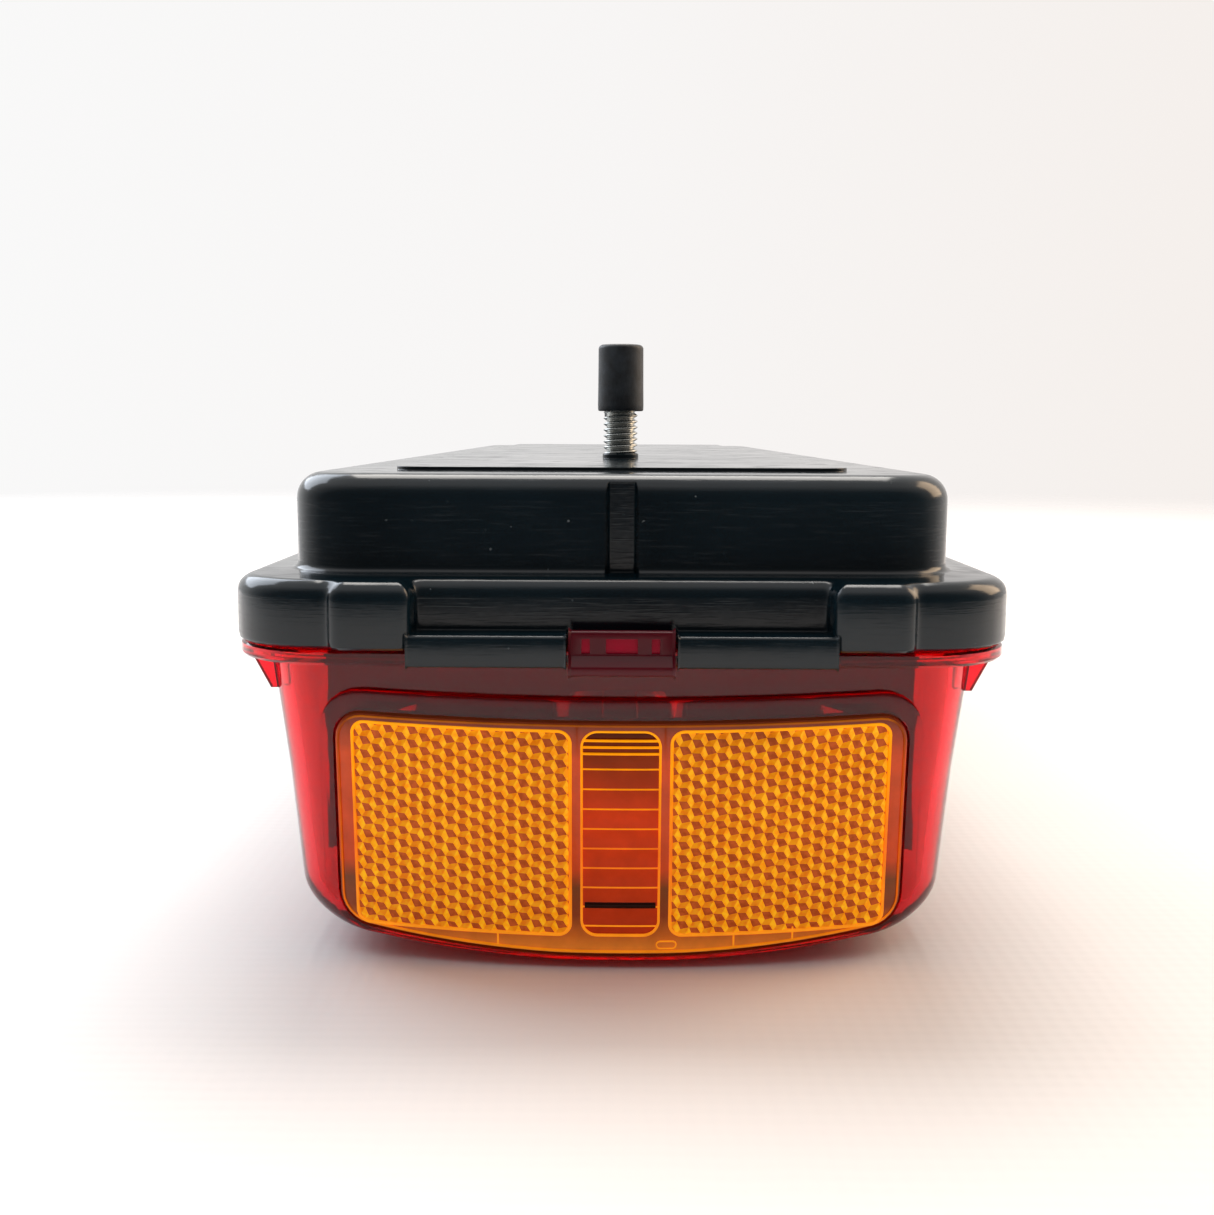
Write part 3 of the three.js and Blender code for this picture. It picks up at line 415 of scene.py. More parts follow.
# The lens is moulded thin and dyed deep, so its IOR sits a little low: less white skin, more red.
red_acrylic = clear_acrylic("red_acrylic", "#ee0a20", "#8e2434", 0.04, 0.03, 0.3, 1.42)
# The snap tongue is painted a dark red that stands for the shade of the dark inside seen through it, and its
# pocket floors are painted a lighter red with a painted glow.
tongue_painted_shade = clear_acrylic("red_acrylic_painted_shade", "#5a0014", "#601020", 0.85, 0.28, 0.3)
pocket_painted_light = dyed_amber("pocket_painted_light", [(0.0, "#b01030"), (1.0, "#8a0c24")], 41.0, 45.0, 0.2)
amber_acrylic = clear_acrylic("amber_acrylic", "#ff9a1e", "#ffb860")
clear_pmma = clear_acrylic("clear_pmma", "#f4f8fa", "#f4f8fa")
# Painted light on the prisms: one amber in lit, side-lit and shaded copies, one copy for each facet direction.
facet_painted_lit = reflex_facet("facet_painted_lit", "#ffb41a", "#f79408", "#d88410", 0.46)
facet_painted_side_lit = reflex_facet("facet_painted_side_lit", "#f49a0e", "#e27a08", "#b06608", 0.36)
facet_shade = reflex_facet("facet_shade", "#c45a26", "#ac4a1c", "#3a2410", 0.26)
# Painted light on the side reflector, laid by height: the plate has a painted glow line at its foot and painted
# bands of light and shade above it, the panel darkens with painted shade towards the housing, and the glow lines
# and the rim bead are painted bright, the rim dull at its top.
PLATE_PAINTED_LIGHT = [(0.0, "#ee8a2c"), (0.05, "#d06a20"), (0.14, "#8a3c18"), (0.26, "#7a3e18")]
PLATE_PAINTED_LIGHT += [(0.34, "#cc4410"), (0.8, "#d84c16"), (0.95, "#7c3418")]
PANEL_PAINTED_LIGHT = [(0.0, "#b43410"), (0.55, "#d03c12"), (0.84, "#8a3008"), (1.0, "#381604")]
PAINTED_GLOW_TONES = [(0.0, "#ff9a1c"), (0.4, "#f07418"), (0.75, "#ff9804"), (1.0, "#ffa408")]
amber_plate = dyed_amber("amber_plate", PLATE_PAINTED_LIGHT, 3.0, 34.0, 0.26, 0.1, 0.3)
amber_shadow = dyed_amber("amber_shadow", [(0.0, "#30120a"), (1.0, "#241006")], 6.0, 32.0, 0.02)
amber_panel = dyed_amber("amber_panel", PANEL_PAINTED_LIGHT, 6.0, 32.0, 0.34)
amber_glow = dyed_amber("amber_glow", PAINTED_GLOW_TONES, 4.0, 33.0, 0.6)
RIM_PAINTED_GLOW = [(0.0, "#ff9414"), (0.2, "#e8660c"), (0.8, "#b8480c"), (0.95, "#8a3c0a"), (1.0, "#c8700a")]
amber_rim = dyed_amber("amber_rim", RIM_PAINTED_GLOW, 3.0, 33.5, 0.45)
cap_rubber = moulded_rubber("cap_rubber", "#1b2127", "#39424a")
seal_rubber = moulded_rubber("seal_rubber")
zinc_plate = bare_metal("zinc_plate", "#d9dad6", "#a9aba8", 0.26, 0.8)
nickel_plate = bare_metal("nickel_plate", "#cfcabd", "#a39d8f", 0.24, 1.0)
spring_wire = bare_metal("spring_wire", "#b8babd", "#8b8e92", 0.22, 0.6)
brass_strip = bare_metal("brass_strip", "#d2ad5e", "#a9843c", 0.3, 1.4, (0.05, 1.0, 1.0))
carrier_moulding = matt_moulding("carrier_moulding", "#26282a", "#1a1c1e")
phenolic_board = matt_moulding("phenolic_board", "#7a4a26", "#5b3418", 0.55)
clear_bulb = lamp_glass("clear_bulb", "#f6f8f8")
amber_bulb = lamp_glass("amber_bulb", "#ffa63a")


# ---- Mesh making ----
def new_piece(name, vertices, faces, material, smooth_below=35.0):
    """A mesh object from millimetre points, smooth but for edges sharper than smooth_below degrees."""
    mesh = bpy.data.meshes.new(name)
    mesh.from_pydata([tuple(Vector(v) * MM) for v in vertices], [], faces)
    piece = bpy.data.objects.new(name, mesh)
    bpy.context.scene.collection.objects.link(piece)
    piece.data.materials.append(material)
    clean(piece, smooth_below)
    return piece


def tint_faces(piece, material, chosen):
    """Gives another material to the faces whose centre, in millimetres, passes the test."""
    piece.data.materials.append(material)
    for face in piece.data.polygons:
        if chosen(face.center / MM):
            face.material_index = len(piece.data.materials) - 1


def clean(piece, smooth_below=35.0):
    """Merges doubled points, turns the faces outward and sets which edges stay sharp."""
    work = bmesh.new()
    work.from_mesh(piece.data)
    bmesh.ops.remove_doubles(work, verts=work.verts, dist=0.002 * MM)
    bmesh.ops.dissolve_degenerate(work, edges=work.edges, dist=0.002 * MM)
    bmesh.ops.recalc_face_normals(work, faces=work.faces)
    work.to_mesh(piece.data)
    work.free()
    piece.data.shade_smooth()
    piece.data.set_sharp_from_angle(angle=math.radians(smooth_below))


def skin(rings, low_cap=True, high_cap=True):
    """Points and faces of a skin over closed rings that all have the same number of points."""
    count = len(rings[0])
    vertices = [v for ring in rings for v in ring]
    faces = []
    for k in range(len(rings) - 1):
        for i in range(count):
            a, b = k * count + i, k * count + (i + 1) % count
            faces.append((a, b, b + count, a + count))
    if low_cap:
        faces.append(tuple(range(count - 1, -1, -1)))
    if high_cap:
        top = (len(rings) - 1) * count
        faces.append(tuple(range(top, top + count)))
    return vertices, faces


def combine(piece, tool, operation):
    """Adds the tool to the piece, or cuts it out, and throws the tool away."""
    step = piece.modifiers.new("combine", "BOOLEAN")
    step.object = tool
    step.operation = operation
    step.solver = "EXACT"
    shaped = piece.evaluated_get(bpy.context.evaluated_depsgraph_get())
    mesh = bpy.data.meshes.new_from_object(shaped)
    piece.modifiers.clear()
    piece.data = mesh
    bpy.data.objects.remove(tool)
    clean(piece)


def outline(corners, inset=0.0, steps=8):
    """Points round a closed anticlockwise outline of [x, y, radius] corners, drawn in by inset."""
    points = []
    for i, (x, y, radius) in enumerate(corners):
        here = Vector((x, y))
        ahead = Vector(corners[(i + 1) % len(corners)][:2]) - here
        behind = here - Vector(corners[i - 1][:2])
        behind.normalize()
        ahead.normalize()
        turn = math.atan2(behind.x * ahead.y - behind.y * ahead.x, behind.dot(ahead))
        inward = Vector((-behind.y, behind.x))
        inward_next = Vector((-ahead.y, ahead.x))
        corner = here + (inward + inward_next) * inset / (1 + inward.dot(inward_next))
        bend = max(radius - inset if turn > 0 else radius + inset, 0.0)
        start = corner - behind * bend * math.tan(abs(turn) / 2)
        centre = start + inward * bend * (1 if turn > 0 else -1)
        for k in range(steps + 1):
            points.append(centre + Matrix.Rotation(turn * k / steps, 2) @ (start - centre))
    return points


def oblong(half_x, half_y, radius):
    return [(a * half_x, b * half_y, radius) for a, b in ((-1, -1), (1, -1), (1, 1), (-1, 1))]


def stack(corners, levels, steps=10):
    """Rings of one outline, one for each [height, inset] level."""
    return [[(p.x, p.y, z) for p in outline(corners, inset, steps)] for z, inset in levels]


def slab(name, corners, z0, z1, material):
    """A flat piece of one outline between two heights."""
    return new_piece(name, *skin(stack(corners, ((z0, 0.0), (z1, 0.0)), 8)), material)


def block(name, low, high, material, round_edge=0.0):
    """A box between two corners, its edges rounded."""
    xs, ys, zs = zip(low, high)
    vertices = [(x, y, z) for x in xs for y in ys for z in zs]
    faces = [(0, 1, 3, 2), (4, 6, 7, 5), (0, 4, 5, 1), (2, 3, 7, 6), (0, 2, 6, 4), (1, 5, 7, 3)]
    piece = new_piece(name, vertices, faces, material)
    if round_edge:
        work = bmesh.new()
        work.from_mesh(piece.data)
        bmesh.ops.bevel(
            work,
            geom=work.edges[:],
            offset=round_edge * MM,
            segments=4,
            profile=0.5,
            affect="EDGES",
            clamp_overlap=True,
        )
        work.to_mesh(piece.data)
        work.free()
        clean(piece)
    return piece


def band(name, thick, z0, z1, material):
    """A closed band of this thickness along the seal's middle line."""
    middle_x = (seal_high.x + GAP) - GROOVE_THICK / 2
    middle_y = (seal_high.y + GAP) - GROOVE_THICK / 2
    half = thick / 2
    levels = ((z0, -half), (z1, -half), (z1, half), (z0, half))
    rings = stack(oblong(middle_x, middle_y, SEAL_CORNER), levels)
    rings.append(rings[0])
    return new_piece(name, *skin(rings, False, False), material)


def turned(name, profile, x, y, material, sides=48, smooth_below=35.0):
    """An upright turned piece from [radius, height] pairs; a pair on the axis closes it there."""
    angles = [2 * math.pi * k / sides for k in range(sides)]
    rings = [[(x + radius * math.cos(a), y + radius * math.sin(a), z) for a in angles] for radius, z in profile]
    if profile[0][0] > 0:
        rings.append(rings[0])
    return new_piece(name, *skin(rings, False, False), material, smooth_below)


def arc(centre, radius, start, end, steps):
    """[radius, height] pairs along an arc, its angles in degrees."""
    points = []
    for k in range(steps + 1):
        a = math.radians(start + (end - start) * k / steps)
        points.append((centre[0] + radius * math.cos(a), centre[1] + radius * math.sin(a)))
    return points


def mirrored_end(piece_maker):
    """Makes a piece at the near end and its twin, turned half round, at the far end."""
    for end in (0, 1):
        piece = piece_maker(end)
        if end:
            piece.data.transform(Matrix.Rotation(math.pi, 4, "Z"))
        yield piece


def keep(piece, body, slot, *nodes):
    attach(piece, body)
    if nodes:
        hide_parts(*nodes)


# ---- Housing ----
def rim_corners():
    """The rim's plan: each rounded corner runs through a small flute into a shoulder beside the recess."""
    near = [
        (-half_width, -half_length, RIM_CORNER),
        (-recess_x - 10.4, -half_length, 1.6),
        (-recess_x - 9.2, -lip_out_y, 2.5),
        (-recess_x, -lip_out_y, 1.5),
        (-recess_x, -recess_y, 0.8),
    ]
    near += [(-x, y, radius) for x, y, radius in reversed(near)]
    return near + [(-x, -y, radius) for x, y, radius in near]


def housing_rim():
    levels = [(joint_z, 0.5), (joint_z + 0.3, 0.12), (joint_z + 0.9, 0.0)]
    for radius, height in arc((0.0, rim_top_z - RIM_ROUND), RIM_ROUND, 0, 90, 8):
        levels.append((height, RIM_ROUND - radius))
    return new_piece("housing_shell", *skin(stack(rim_corners(), levels, 8)), black_abs)


def end_flute(end):
    """The upright flute in the middle of the box's end, drawn to be cut out."""
    half = FLUTE_WIDTH / 2
    corners = [
        (-half - 0.2, -body_y - 2.0, 0.0),
        (half + 0.2, -body_y - 2.0, 0.0),
        (half, -body_y + 0.1, 0.0),
        (half - 0.5, -body_y + FLUTE_DEEP, 0.5),
        (-half + 0.5, -body_y + FLUTE_DEEP, 0.5),
        (-half, -body_y + 0.1, 0.0),
    ]
    return slab("flute", corners, rim_top_z + 0.1, back_z - BODY_ROUND * 0.3, black_abs)


def housing_body():
    levels = [(rim_top_z - 1.5, -FOOT_FILLET), (rim_top_z, -FOOT_FILLET)]
    for radius, height in arc((0.0, rim_top_z + FOOT_FILLET), FOOT_FILLET, -90, 0, 5)[1:]:
        levels.append((height, radius - FOOT_FILLET))
    for radius, height in arc((0.0, back_z - BODY_ROUND), BODY_ROUND, 0, 90, 10):
        levels.append((height, BODY_ROUND - radius))
    return new_piece("box", *skin(stack(oblong(body_x, body_y, BODY_CORNER), levels)), black_abs)


def snap_lip(name, x0, x1):
    """One half of the lip: a shelf out of the recess that turns down in front of the lens flange."""
    shelf_top = joint_z + SHELF_THICK
    profile = [
        (-recess_y + 0.6, joint_z, 0.1),
        (-recess_y + 0.6, shelf_top, 0.1),
        (-lip_out_y, shelf_top, 0.55),
        (-lip_out_y, joint_z - LIP_DROP, 0.4),
        (-lip_in_y, joint_z - LIP_DROP, 0.3),
        (-lip_in_y, joint_z, 0.15),
    ]
    rings = []
    for x, inset in ((x0, 0.3), (x0 + 0.3, 0.0), (x1 - 0.3, 0.0), (x1, 0.3)):
        rings.append([(x, p.x, p.y) for p in reversed(outline(profile[::-1], inset, 4))])
    return new_piece(name, *skin(rings), black_abs)


def lips():
    made = []
    for side in (-1, 1):
        x0, x1 = sorted((side * (CLIP_WIDTH / 2 + GAP), side * (recess_x + 0.6)))
        made += list(mirrored_end(lambda end: snap_lip("lip", x0, x1)))
    return made


def housing():
    shell = housing_rim()
    combine(shell, housing_body(), "UNION")
    for flute in mirrored_end(end_flute):
        combine(shell, flute, "DIFFERENCE")
    pad = oblong(half_width - PAD_SIDE, half_length - PAD_END, 4.0)
    combine(shell, slab("pad", pad, back_z - 0.4, pad_z, black_abs), "UNION")
    for y in stud_ys:
        top = pad_z + COLLAR_HIGH
        profile = [(0, pad_z - 0.8), (COLLAR_RADIUS, pad_z - 0.8), (COLLAR_RADIUS, top - 0.25)]
        profile += [(COLLAR_RADIUS - 0.25, top), (0, top)]
        combine(shell, turned("collar", profile, 0, y, black_abs), "UNION")
    cavity = oblong(body_x - SHELL, body_y - SHELL, BODY_CORNER - SHELL)
    combine(shell, slab("cavity", cavity, joint_z - 2, ceiling_z, black_abs), "DIFFERENCE")
    combine(shell, band("groove", GROOVE_THICK, joint_z - 2, seal_high.z + GAP, black_abs), "DIFFERENCE")
    for lip in lips():
        combine(shell, lip, "UNION")
    for y in stud_ys:
        bore = [(0, ceiling_z - 3), (2.4 + GAP / 2, ceiling_z - 3), (2.4 + GAP / 2, pad_z + 4), (0, pad_z + 4)]
        combine(shell, turned("bore", bore, 0, y, black_abs), "DIFFERENCE")
    foot = carrier_top + GAP
    post = [(0, foot + BOSS_BORE_DEEP), (BOSS_BORE, foot + BOSS_BORE_DEEP), (BOSS_BORE, foot + 0.3)]
    post += [(BOSS_BORE + 0.3, foot), (BOSS_RADIUS - 0.2, foot), (BOSS_RADIUS, foot + 0.2)]
    post += [(BOSS_RADIUS, ceiling_z + 0.5), (0, ceiling_z + 0.5)]
    for index in range(1, 5):
        low, high = node_box(f"carrier_screw_{index}")
        boss = turned("screw_boss", post, (low.x + high.x) / 2, (low.y + high.y) / 2, black_abs)
        combine(shell, boss, "UNION")
    low, high = node_box("cable_grommet")
    hole = turned("grommet_hole", [(0, -6), (GROMMET_BORE, -6), (GROMMET_BORE, 6), (0, 6)], 0, 0, black_abs)
    hole.data.transform(Matrix.Rotation(math.pi / 2, 4, "X"))
    hole.data.transform(Matrix.Translation(Vector(((low.x + high.x) / 2, body_y, (low.z + high.z) / 2)) * MM))
    combine(shell, hole, "DIFFERENCE")
    return shell


housing_piece = housing()
keep(housing_piece, "housing", "housing_black", "housing")


# ---- Lens ----
def crown(x):
    return (max(abs(x), CROWN_FLAT) ** 2 - CROWN_FLAT**2) / (2 * CROWN_RADIUS)


def end_bow(x):
    return x * x / (2 * END_RADIUS)


def lens_ring(z, half_x, half_y, radius, lift):
    """One level of the lens wall: a rounded rectangle whose ends bow out and whose middle hangs low."""
    flat = half_x - radius
    near = []
    for k in range(13):
        a = math.pi / 2 * k / 12
        near.append((-flat - radius * math.cos(a), radius - half_y - radius * math.sin(a) + end_bow(flat)))
    for k in range(1, 24):
        x = flat * (k / 12 - 1)
        near.append((x, end_bow(x) - half_y))
    near += [(-x, y) for x, y in reversed(near[:13])]
    ring = near + [(x, -y) for x, y in reversed(near)]
    return [(x, y, z + crown(x) * lift) for x, y in ring]


def lens_levels(inset):
    """[height, half width, half length, corner radius, lift] from the crown's edge to the flange."""
    foot_x = wall_x - flange_z * DRAFT - inset
    foot_y = wall_y - flange_z * DRAFT - inset
    side = EDGE_SIDE - inset * 0.7
    end = EDGE_END - inset * 0.4
    corner = FLANGE_CORNER - FLANGE_SIDE - inset
    levels = []
    for k in range(9):
        a = math.pi / 2 * k / 8
        z = inset + (EDGE_HIGH - inset * 0.5) * (1 - math.cos(a))
        back = 1 - math.sin(a)
        lean = z * DRAFT
        lift = 1 - (z - inset) / (lens_top - inset)
        half_x, half_y = foot_x + lean - side * back, foot_y + lean - end * back
        levels.append((z, half_x, half_y, corner - 3 - side * back * 0.7, lift))
    for z in (flange_z * 0.55, flange_z + 0.9):
        lift = 1 - (z - inset) / (lens_top - inset)
        levels.append((z, foot_x + z * DRAFT, foot_y + z * DRAFT, corner, lift))
    return levels


def close_crown(faces, count, start, flip):
    """Joins each point of a ring's near half to its mirror on the far half."""
    for i in range(count // 2 - 1):
        quad = (start + i, start + i + 1, start + count - 2 - i, start + count - 1 - i)
        faces.append(quad[::-1] if flip else quad)


def lens_tub():
    outside = [lens_ring(*level) for level in lens_levels(0.0)]
    inside = [lens_ring(*level) for level in lens_levels(LENS_WALL)]
    mouth = [(x, y, lens_top) for x, y, z in inside[-1]]
    rings = outside + [mouth] + inside[::-1]
    vertices, faces = skin(rings, False, False)
    count = len(rings[0])
    close_crown(faces, count, 0, True)
    close_crown(faces, count, (len(rings) - 1) * count, False)
    return new_piece("lens_shell", vertices, faces, red_acrylic)


def flange_ring():
    """The flange: a flat rim round the tub's mouth with softened edges."""
    corners = oblong(half_width, half_length, FLANGE_CORNER)
    hole = oblong(wall_x - LENS_WALL - 0.4, wall_y - LENS_WALL - 6.0, FLANGE_CORNER - FLANGE_SIDE - LENS_WALL)
    levels = [(flange_z, 0.35), (flange_z + 0.35, 0.0), (lens_top - 0.3, 0.0), (lens_top, 0.3)]
    rings = stack(corners, levels) + stack(hole, ((lens_top, 0.0), (flange_z, 0.0)))
    rings.append(rings[0])
    return new_piece("flange", *skin(rings, False, False), red_acrylic)


def wedge_rib(side, y):
    thick = 0.8
    foot = wall_x - WEDGE_DROP * DRAFT
    profile = [
        (wall_x - 1.5, flange_z + 0.4),
        (foot - 1.5, flange_z - WEDGE_DROP),
        (foot + 0.1, flange_z - WEDGE_DROP),
        (half_width - 0.35, flange_z - 0.5),
        (half_width - 0.35, flange_z + 0.4),
    ]
    rings = [[(side * x, y + dy, z) for x, z in profile] for dy in (-thick, thick)]
    return new_piece("rib", *skin(rings), red_acrylic)


def snap_tongue(end):
    """The tongue in the lip's notch: a pocketed face over a sloping thumb ledge."""
    half = CLIP_WIDTH / 2
    low, high = flange_z - 0.6, joint_z + CLIP_RISE
    profile = [
        (-half_length + 0.6, low + 0.2, 0.1),
        (-half_length + 0.6, lens_top - 0.4, 0.1),
        (-half_length - 0.3, lens_top - 0.2, 0.2),
        (-half_length - 0.3, high, 0.3),
        (-lip_out_y, high, 0.35),
        (-lip_out_y, flange_z + 1.7, 0.3),
        (-lip_out_y - CLIP_LEDGE, flange_z + 0.5, 0.4),
        (-lip_out_y - CLIP_LEDGE, low, 0.3),
    ]
    rings = []
    for x, inset in ((-half, 0.35), (-half + 0.35, 0.0), (half - 0.35, 0.0), (half, 0.35)):
        rings.append([(x, p.x, p.y) for p in outline(profile[::-1], inset, 3)])
    tongue = new_piece("tongue", *skin(rings), red_acrylic)
    for a, b in ((-0.76, -0.6), (-0.3, 0.3), (0.56, 0.72)):
        low_corner = (a * half, -lip_out_y - 0.6, flange_z + 1.9)
        pocket = block("pocket", low_corner, (b * half, -lip_out_y + 0.55, high - 0.9), red_acrylic)
        combine(tongue, pocket, "DIFFERENCE")
    return tongue


slope = math.atan(DRAFT)


def on_end_wall(u, v, out):
    """A place on the near end wall: u across, v up from the flange, out of the wall."""
    out -= end_bow(u)
    y = -wall_y - v * math.sin(slope) - out * math.cos(slope)
    return (u, y, flange_z + v * math.cos(slope) - out * math.sin(slope))


def bowed_foot(half_x, top, bottom, radius, inset=0.0, steps=6):
    """An outline on the end wall whose lower edge follows the crown, clockwise from its top left."""
    half_x, top, bottom, radius = half_x - inset, top - inset, bottom + inset, max(radius - inset, 0.2)
    points = []
    for k in range(steps + 1):
        a = math.pi / 2 * k / steps
        points.append((-half_x + radius - radius * math.sin(a), top - radius + radius * math.cos(a)))
    for k in range(steps + 1):
        a = math.pi / 2 * k / steps
        x = -half_x + radius - radius * math.cos(a)
        points.append((x, bottom + crown(x) + radius - radius * math.sin(a)))
    span = half_x - radius
    across = 24
    spots = [span * (2 * k / across - 1) for k in range(1, across)]
    points += [(x, bottom + crown(x)) for x in spots]
    points += [(-x, y) for x, y in reversed(points[: 2 * steps + 2])]
    points += [(x, top) for x in reversed(spots)]
    return points


def wall_plate(name, levels, shape, material):
    """A closed plate on the end wall from [height off the wall, inset] levels, inside out."""
    outlines = [[on_end_wall(u, v, out) for u, v in shape(inset)] for out, inset in levels]
    vertices, faces = skin(outlines, False, False)
    count = len(outlines[0])
    for start, flip in ((0, False), ((len(outlines) - 1) * count, True)):
        faces += strip_faces(shape(levels[0][1] if start == 0 else levels[-1][1]), start, flip)
    return new_piece(name, vertices, faces, material)


def strip_faces(points, start, flip):
    """Upright strips that fill a bowed outline, so that the face bends with the wall."""
    count = len(points)
    across = 24
    corner = (count - 2 * (across - 1)) // 4
    faces = []
    low = list(range(2 * corner - 1, 2 * corner + across))
    high = [(2 * corner + across - 1 + 2 * corner - 1 + k) % count for k in range(across + 1)][::-1]
    for i in range(across):
        faces.append((low[i], low[i + 1], high[i + 1], high[i]))
    left = list(range(0, 2 * corner))
    right = [2 * corner + across - 1 + k for k in range(2 * corner)]
    faces += [tuple(left), tuple(right)]
    made = []
    for face in faces:
        face = tuple(start + k for k in face)
        made.append(face[::-1] if flip else face)
    return made


def finely(points, parts=12):
    """Splits the long sides of an outline, so that it bends with the wall."""
    made = []
    for here, ahead in zip(points, points[1:] + points[:1]):
        count = parts if (ahead - here).length > 3.0 else 1
        made += [here.lerp(ahead, k / count) for k in range(count)]
    return made


def wall_block(name, points, out0, out1):
    """A closed block that stands through the end wall, to cut with."""
    rings = [[on_end_wall(p.x, p.y, out) for p in points] for out in (out0, out1)]
    return new_piece(name, *skin(rings), red_acrylic)


reflector_x = half_width - REFLECTOR_SIDE
reflector_top = -REFLECTOR_TOP
reflector_bottom = reflector_top - REFLECTOR_HIGH
field_middle = reflector_top - FIELD_TOP - FIELD_HIGH / 2
field_in = WINDOW_WIDTH / 2 + FIELD_BORDER
field_out = reflector_x - FIELD_MARGIN


def field_outline(side, inset=0.0):
    half = (field_out - field_in) / 2
    corners = oblong(half, FIELD_HIGH / 2, FIELD_CORNER)
    middle = Vector((side * (field_in + field_out) / 2, field_middle))
    return finely([p + middle for p in outline(corners, inset)])


def window_outline(inset=0.0):
    corners = oblong(WINDOW_WIDTH / 2, FIELD_HIGH / 2, WINDOW_CORNER)
    return finely([p + Vector((0.0, field_middle)) for p in outline(corners, inset)])


def reflector_outline(inset):
    return bowed_foot(reflector_x, reflector_top, reflector_bottom, REFLECTOR_CORNER, inset)


def lens():
    shell = lens_tub()
    combine(shell, flange_ring(), "UNION")
    rib_pitch = (2 * (half_length - FLANGE_CORNER) - 4.0) / 4
    for side in (-1, 1):
        for k in range(5):
            combine(shell, wedge_rib(side, (k - 2) * rib_pitch), "UNION")
    for tongue in mirrored_end(snap_tongue):
        combine(shell, tongue, "UNION")

    def border(inset):
        foot = reflector_bottom - FRAME_FOOT
        return bowed_foot(reflector_x + FRAME_BORDER, -FRAME_TOP, foot, REFLECTOR_CORNER + FRAME_BORDER, inset)

    def pocket(inset):
        return reflector_outline(inset - GAP)

    raised = [(-LENS_WALL / 2, 0.0), (0.0, 0.0), (FRAME_RISE - 0.4, 0.0)]
    raised += [(FRAME_RISE - 0.1, 0.12), (FRAME_RISE, 0.4)]
    combine(shell, wall_plate("frame", raised, border, red_acrylic), "UNION")
    sunk = [(FRAME_RISE - POCKET_DEEP, 0.0), (FRAME_RISE + 3.0, 0.0)]
    combine(shell, wall_plate("pocket", sunk, pocket, red_acrylic), "DIFFERENCE")
    combine(shell, wall_block("light_hole", window_outline(1.0), -LENS_WALL - 3, FRAME_RISE), "DIFFERENCE")
    combine(shell, band("seal_rib", SEAL_RIB_THICK, lens_top - 0.5, seal_low.z - 2 * GAP, red_acrylic), "UNION")
    for node in ("turn_lens", "reverse_lens"):
        low, high = node_box(node)
        middle = (low.y + high.y) / 2
        section = oblong(half_width - SECTION_SIDE, SECTION_HALF, SECTION_CORNER)
        corners = [(x, y + middle, r) for x, y, r in section]
        combine(shell, slab("section_opening", corners, -1, EDGE_HIGH + LENS_WALL, red_acrylic), "DIFFERENCE")

    def on_tongue(centre):
        return centre.y < -half_length - 0.25 or centre.y > half_length + 0.25

    def in_pocket(centre):
        return abs(centre.x) < CLIP_WIDTH / 2 and abs(abs(centre.y) - lip_out_y + 0.55) < 0.05

    # The tongue takes the painted-shade red, and its pocket floors take the painted-light red.
    tint_faces(shell, tongue_painted_shade, on_tongue)
    tint_faces(shell, pocket_painted_light, in_pocket)
    return shell


lens_piece = lens()
keep(lens_piece, "lens", "lens_red", "lens")


# ---- Side reflector ----
plate_low = FRAME_RISE - POCKET_DEEP + GAP
plate_high = FRAME_RISE + GAP


def prism_field(side):
    """Cube-corner prisms in a honeycomb: each hexagon is three square faces that meet at a deep point."""
    reach = PRISM_FLATS / math.sqrt(3)
    column = reach * 1.5
    deep = reach * math.sqrt(2) * PRISM_SQUASH
    base = plate_high - 0.12 - deep
    middle_u = side * (field_in + field_out) / 2
    half_u = (field_out - field_in) / 2
    half_v = FIELD_HIGH / 2
    work = bmesh.new()
    for i in range(-int(half_u / column) - 2, int(half_u / column) + 3):
        for j in range(-int(half_v / PRISM_FLATS) - 2, int(half_v / PRISM_FLATS) + 3):
            u = middle_u + i * column
            v = field_middle + (j + (i % 2) / 2) * PRISM_FLATS
            centre = work.verts.new((u - 0.08 * reach, v - PRISM_TIP * reach, base))
            ring = []
            for k in range(6):
                a = math.radians(60 * k)
                rise = deep if k % 2 else deep / 2
                ring.append(work.verts.new((u + reach * math.cos(a), v + reach * math.sin(a), base + rise)))
            for kind, k in enumerate((0, 2, 4)):
                face = work.faces.new((centre, ring[k], ring[k + 1], ring[(k + 2) % 6]))
                face.material_index = kind
    bmesh.ops.remove_doubles(work, verts=work.verts, dist=0.01)
    for k in range(20):
        turn = math.radians(k * 18)
        normal = Vector((math.cos(turn), math.sin(turn), 0))
        along = (half_u - FIELD_CORNER) * (1 if normal.x > 1e-6 else -1 if normal.x < -1e-6 else 0)
        up = (half_v - FIELD_CORNER) * (1 if normal.y > 1e-6 else -1 if normal.y < -1e-6 else 0)
        spot = Vector((middle_u + along, field_middle + up, 0)) + normal * (FIELD_CORNER + 0.05)
        everything = work.verts[:] + work.edges[:] + work.faces[:]
        bmesh.ops.bisect_plane(work, geom=everything, plane_co=spot, plane_no=normal, clear_outer=True)
    for vert in work.verts:
        vert.co = Vector(on_end_wall(*vert.co)) * MM
    mesh = bpy.data.meshes.new("reflex_prisms")
    work.to_mesh(mesh)
    work.free()
    prisms = bpy.data.objects.new("reflex_prisms_" + ("left" if side < 0 else "right"), mesh)
    bpy.context.scene.collection.objects.link(prisms)
    # Facet kinds 0, 1 and 2 take the painted shade, painted lit and painted side-lit copies of the amber.
    for material in (facet_shade, facet_painted_lit, facet_painted_side_lit):
        mesh.materials.append(material)
    clean(prisms, 5.0)
    return prisms


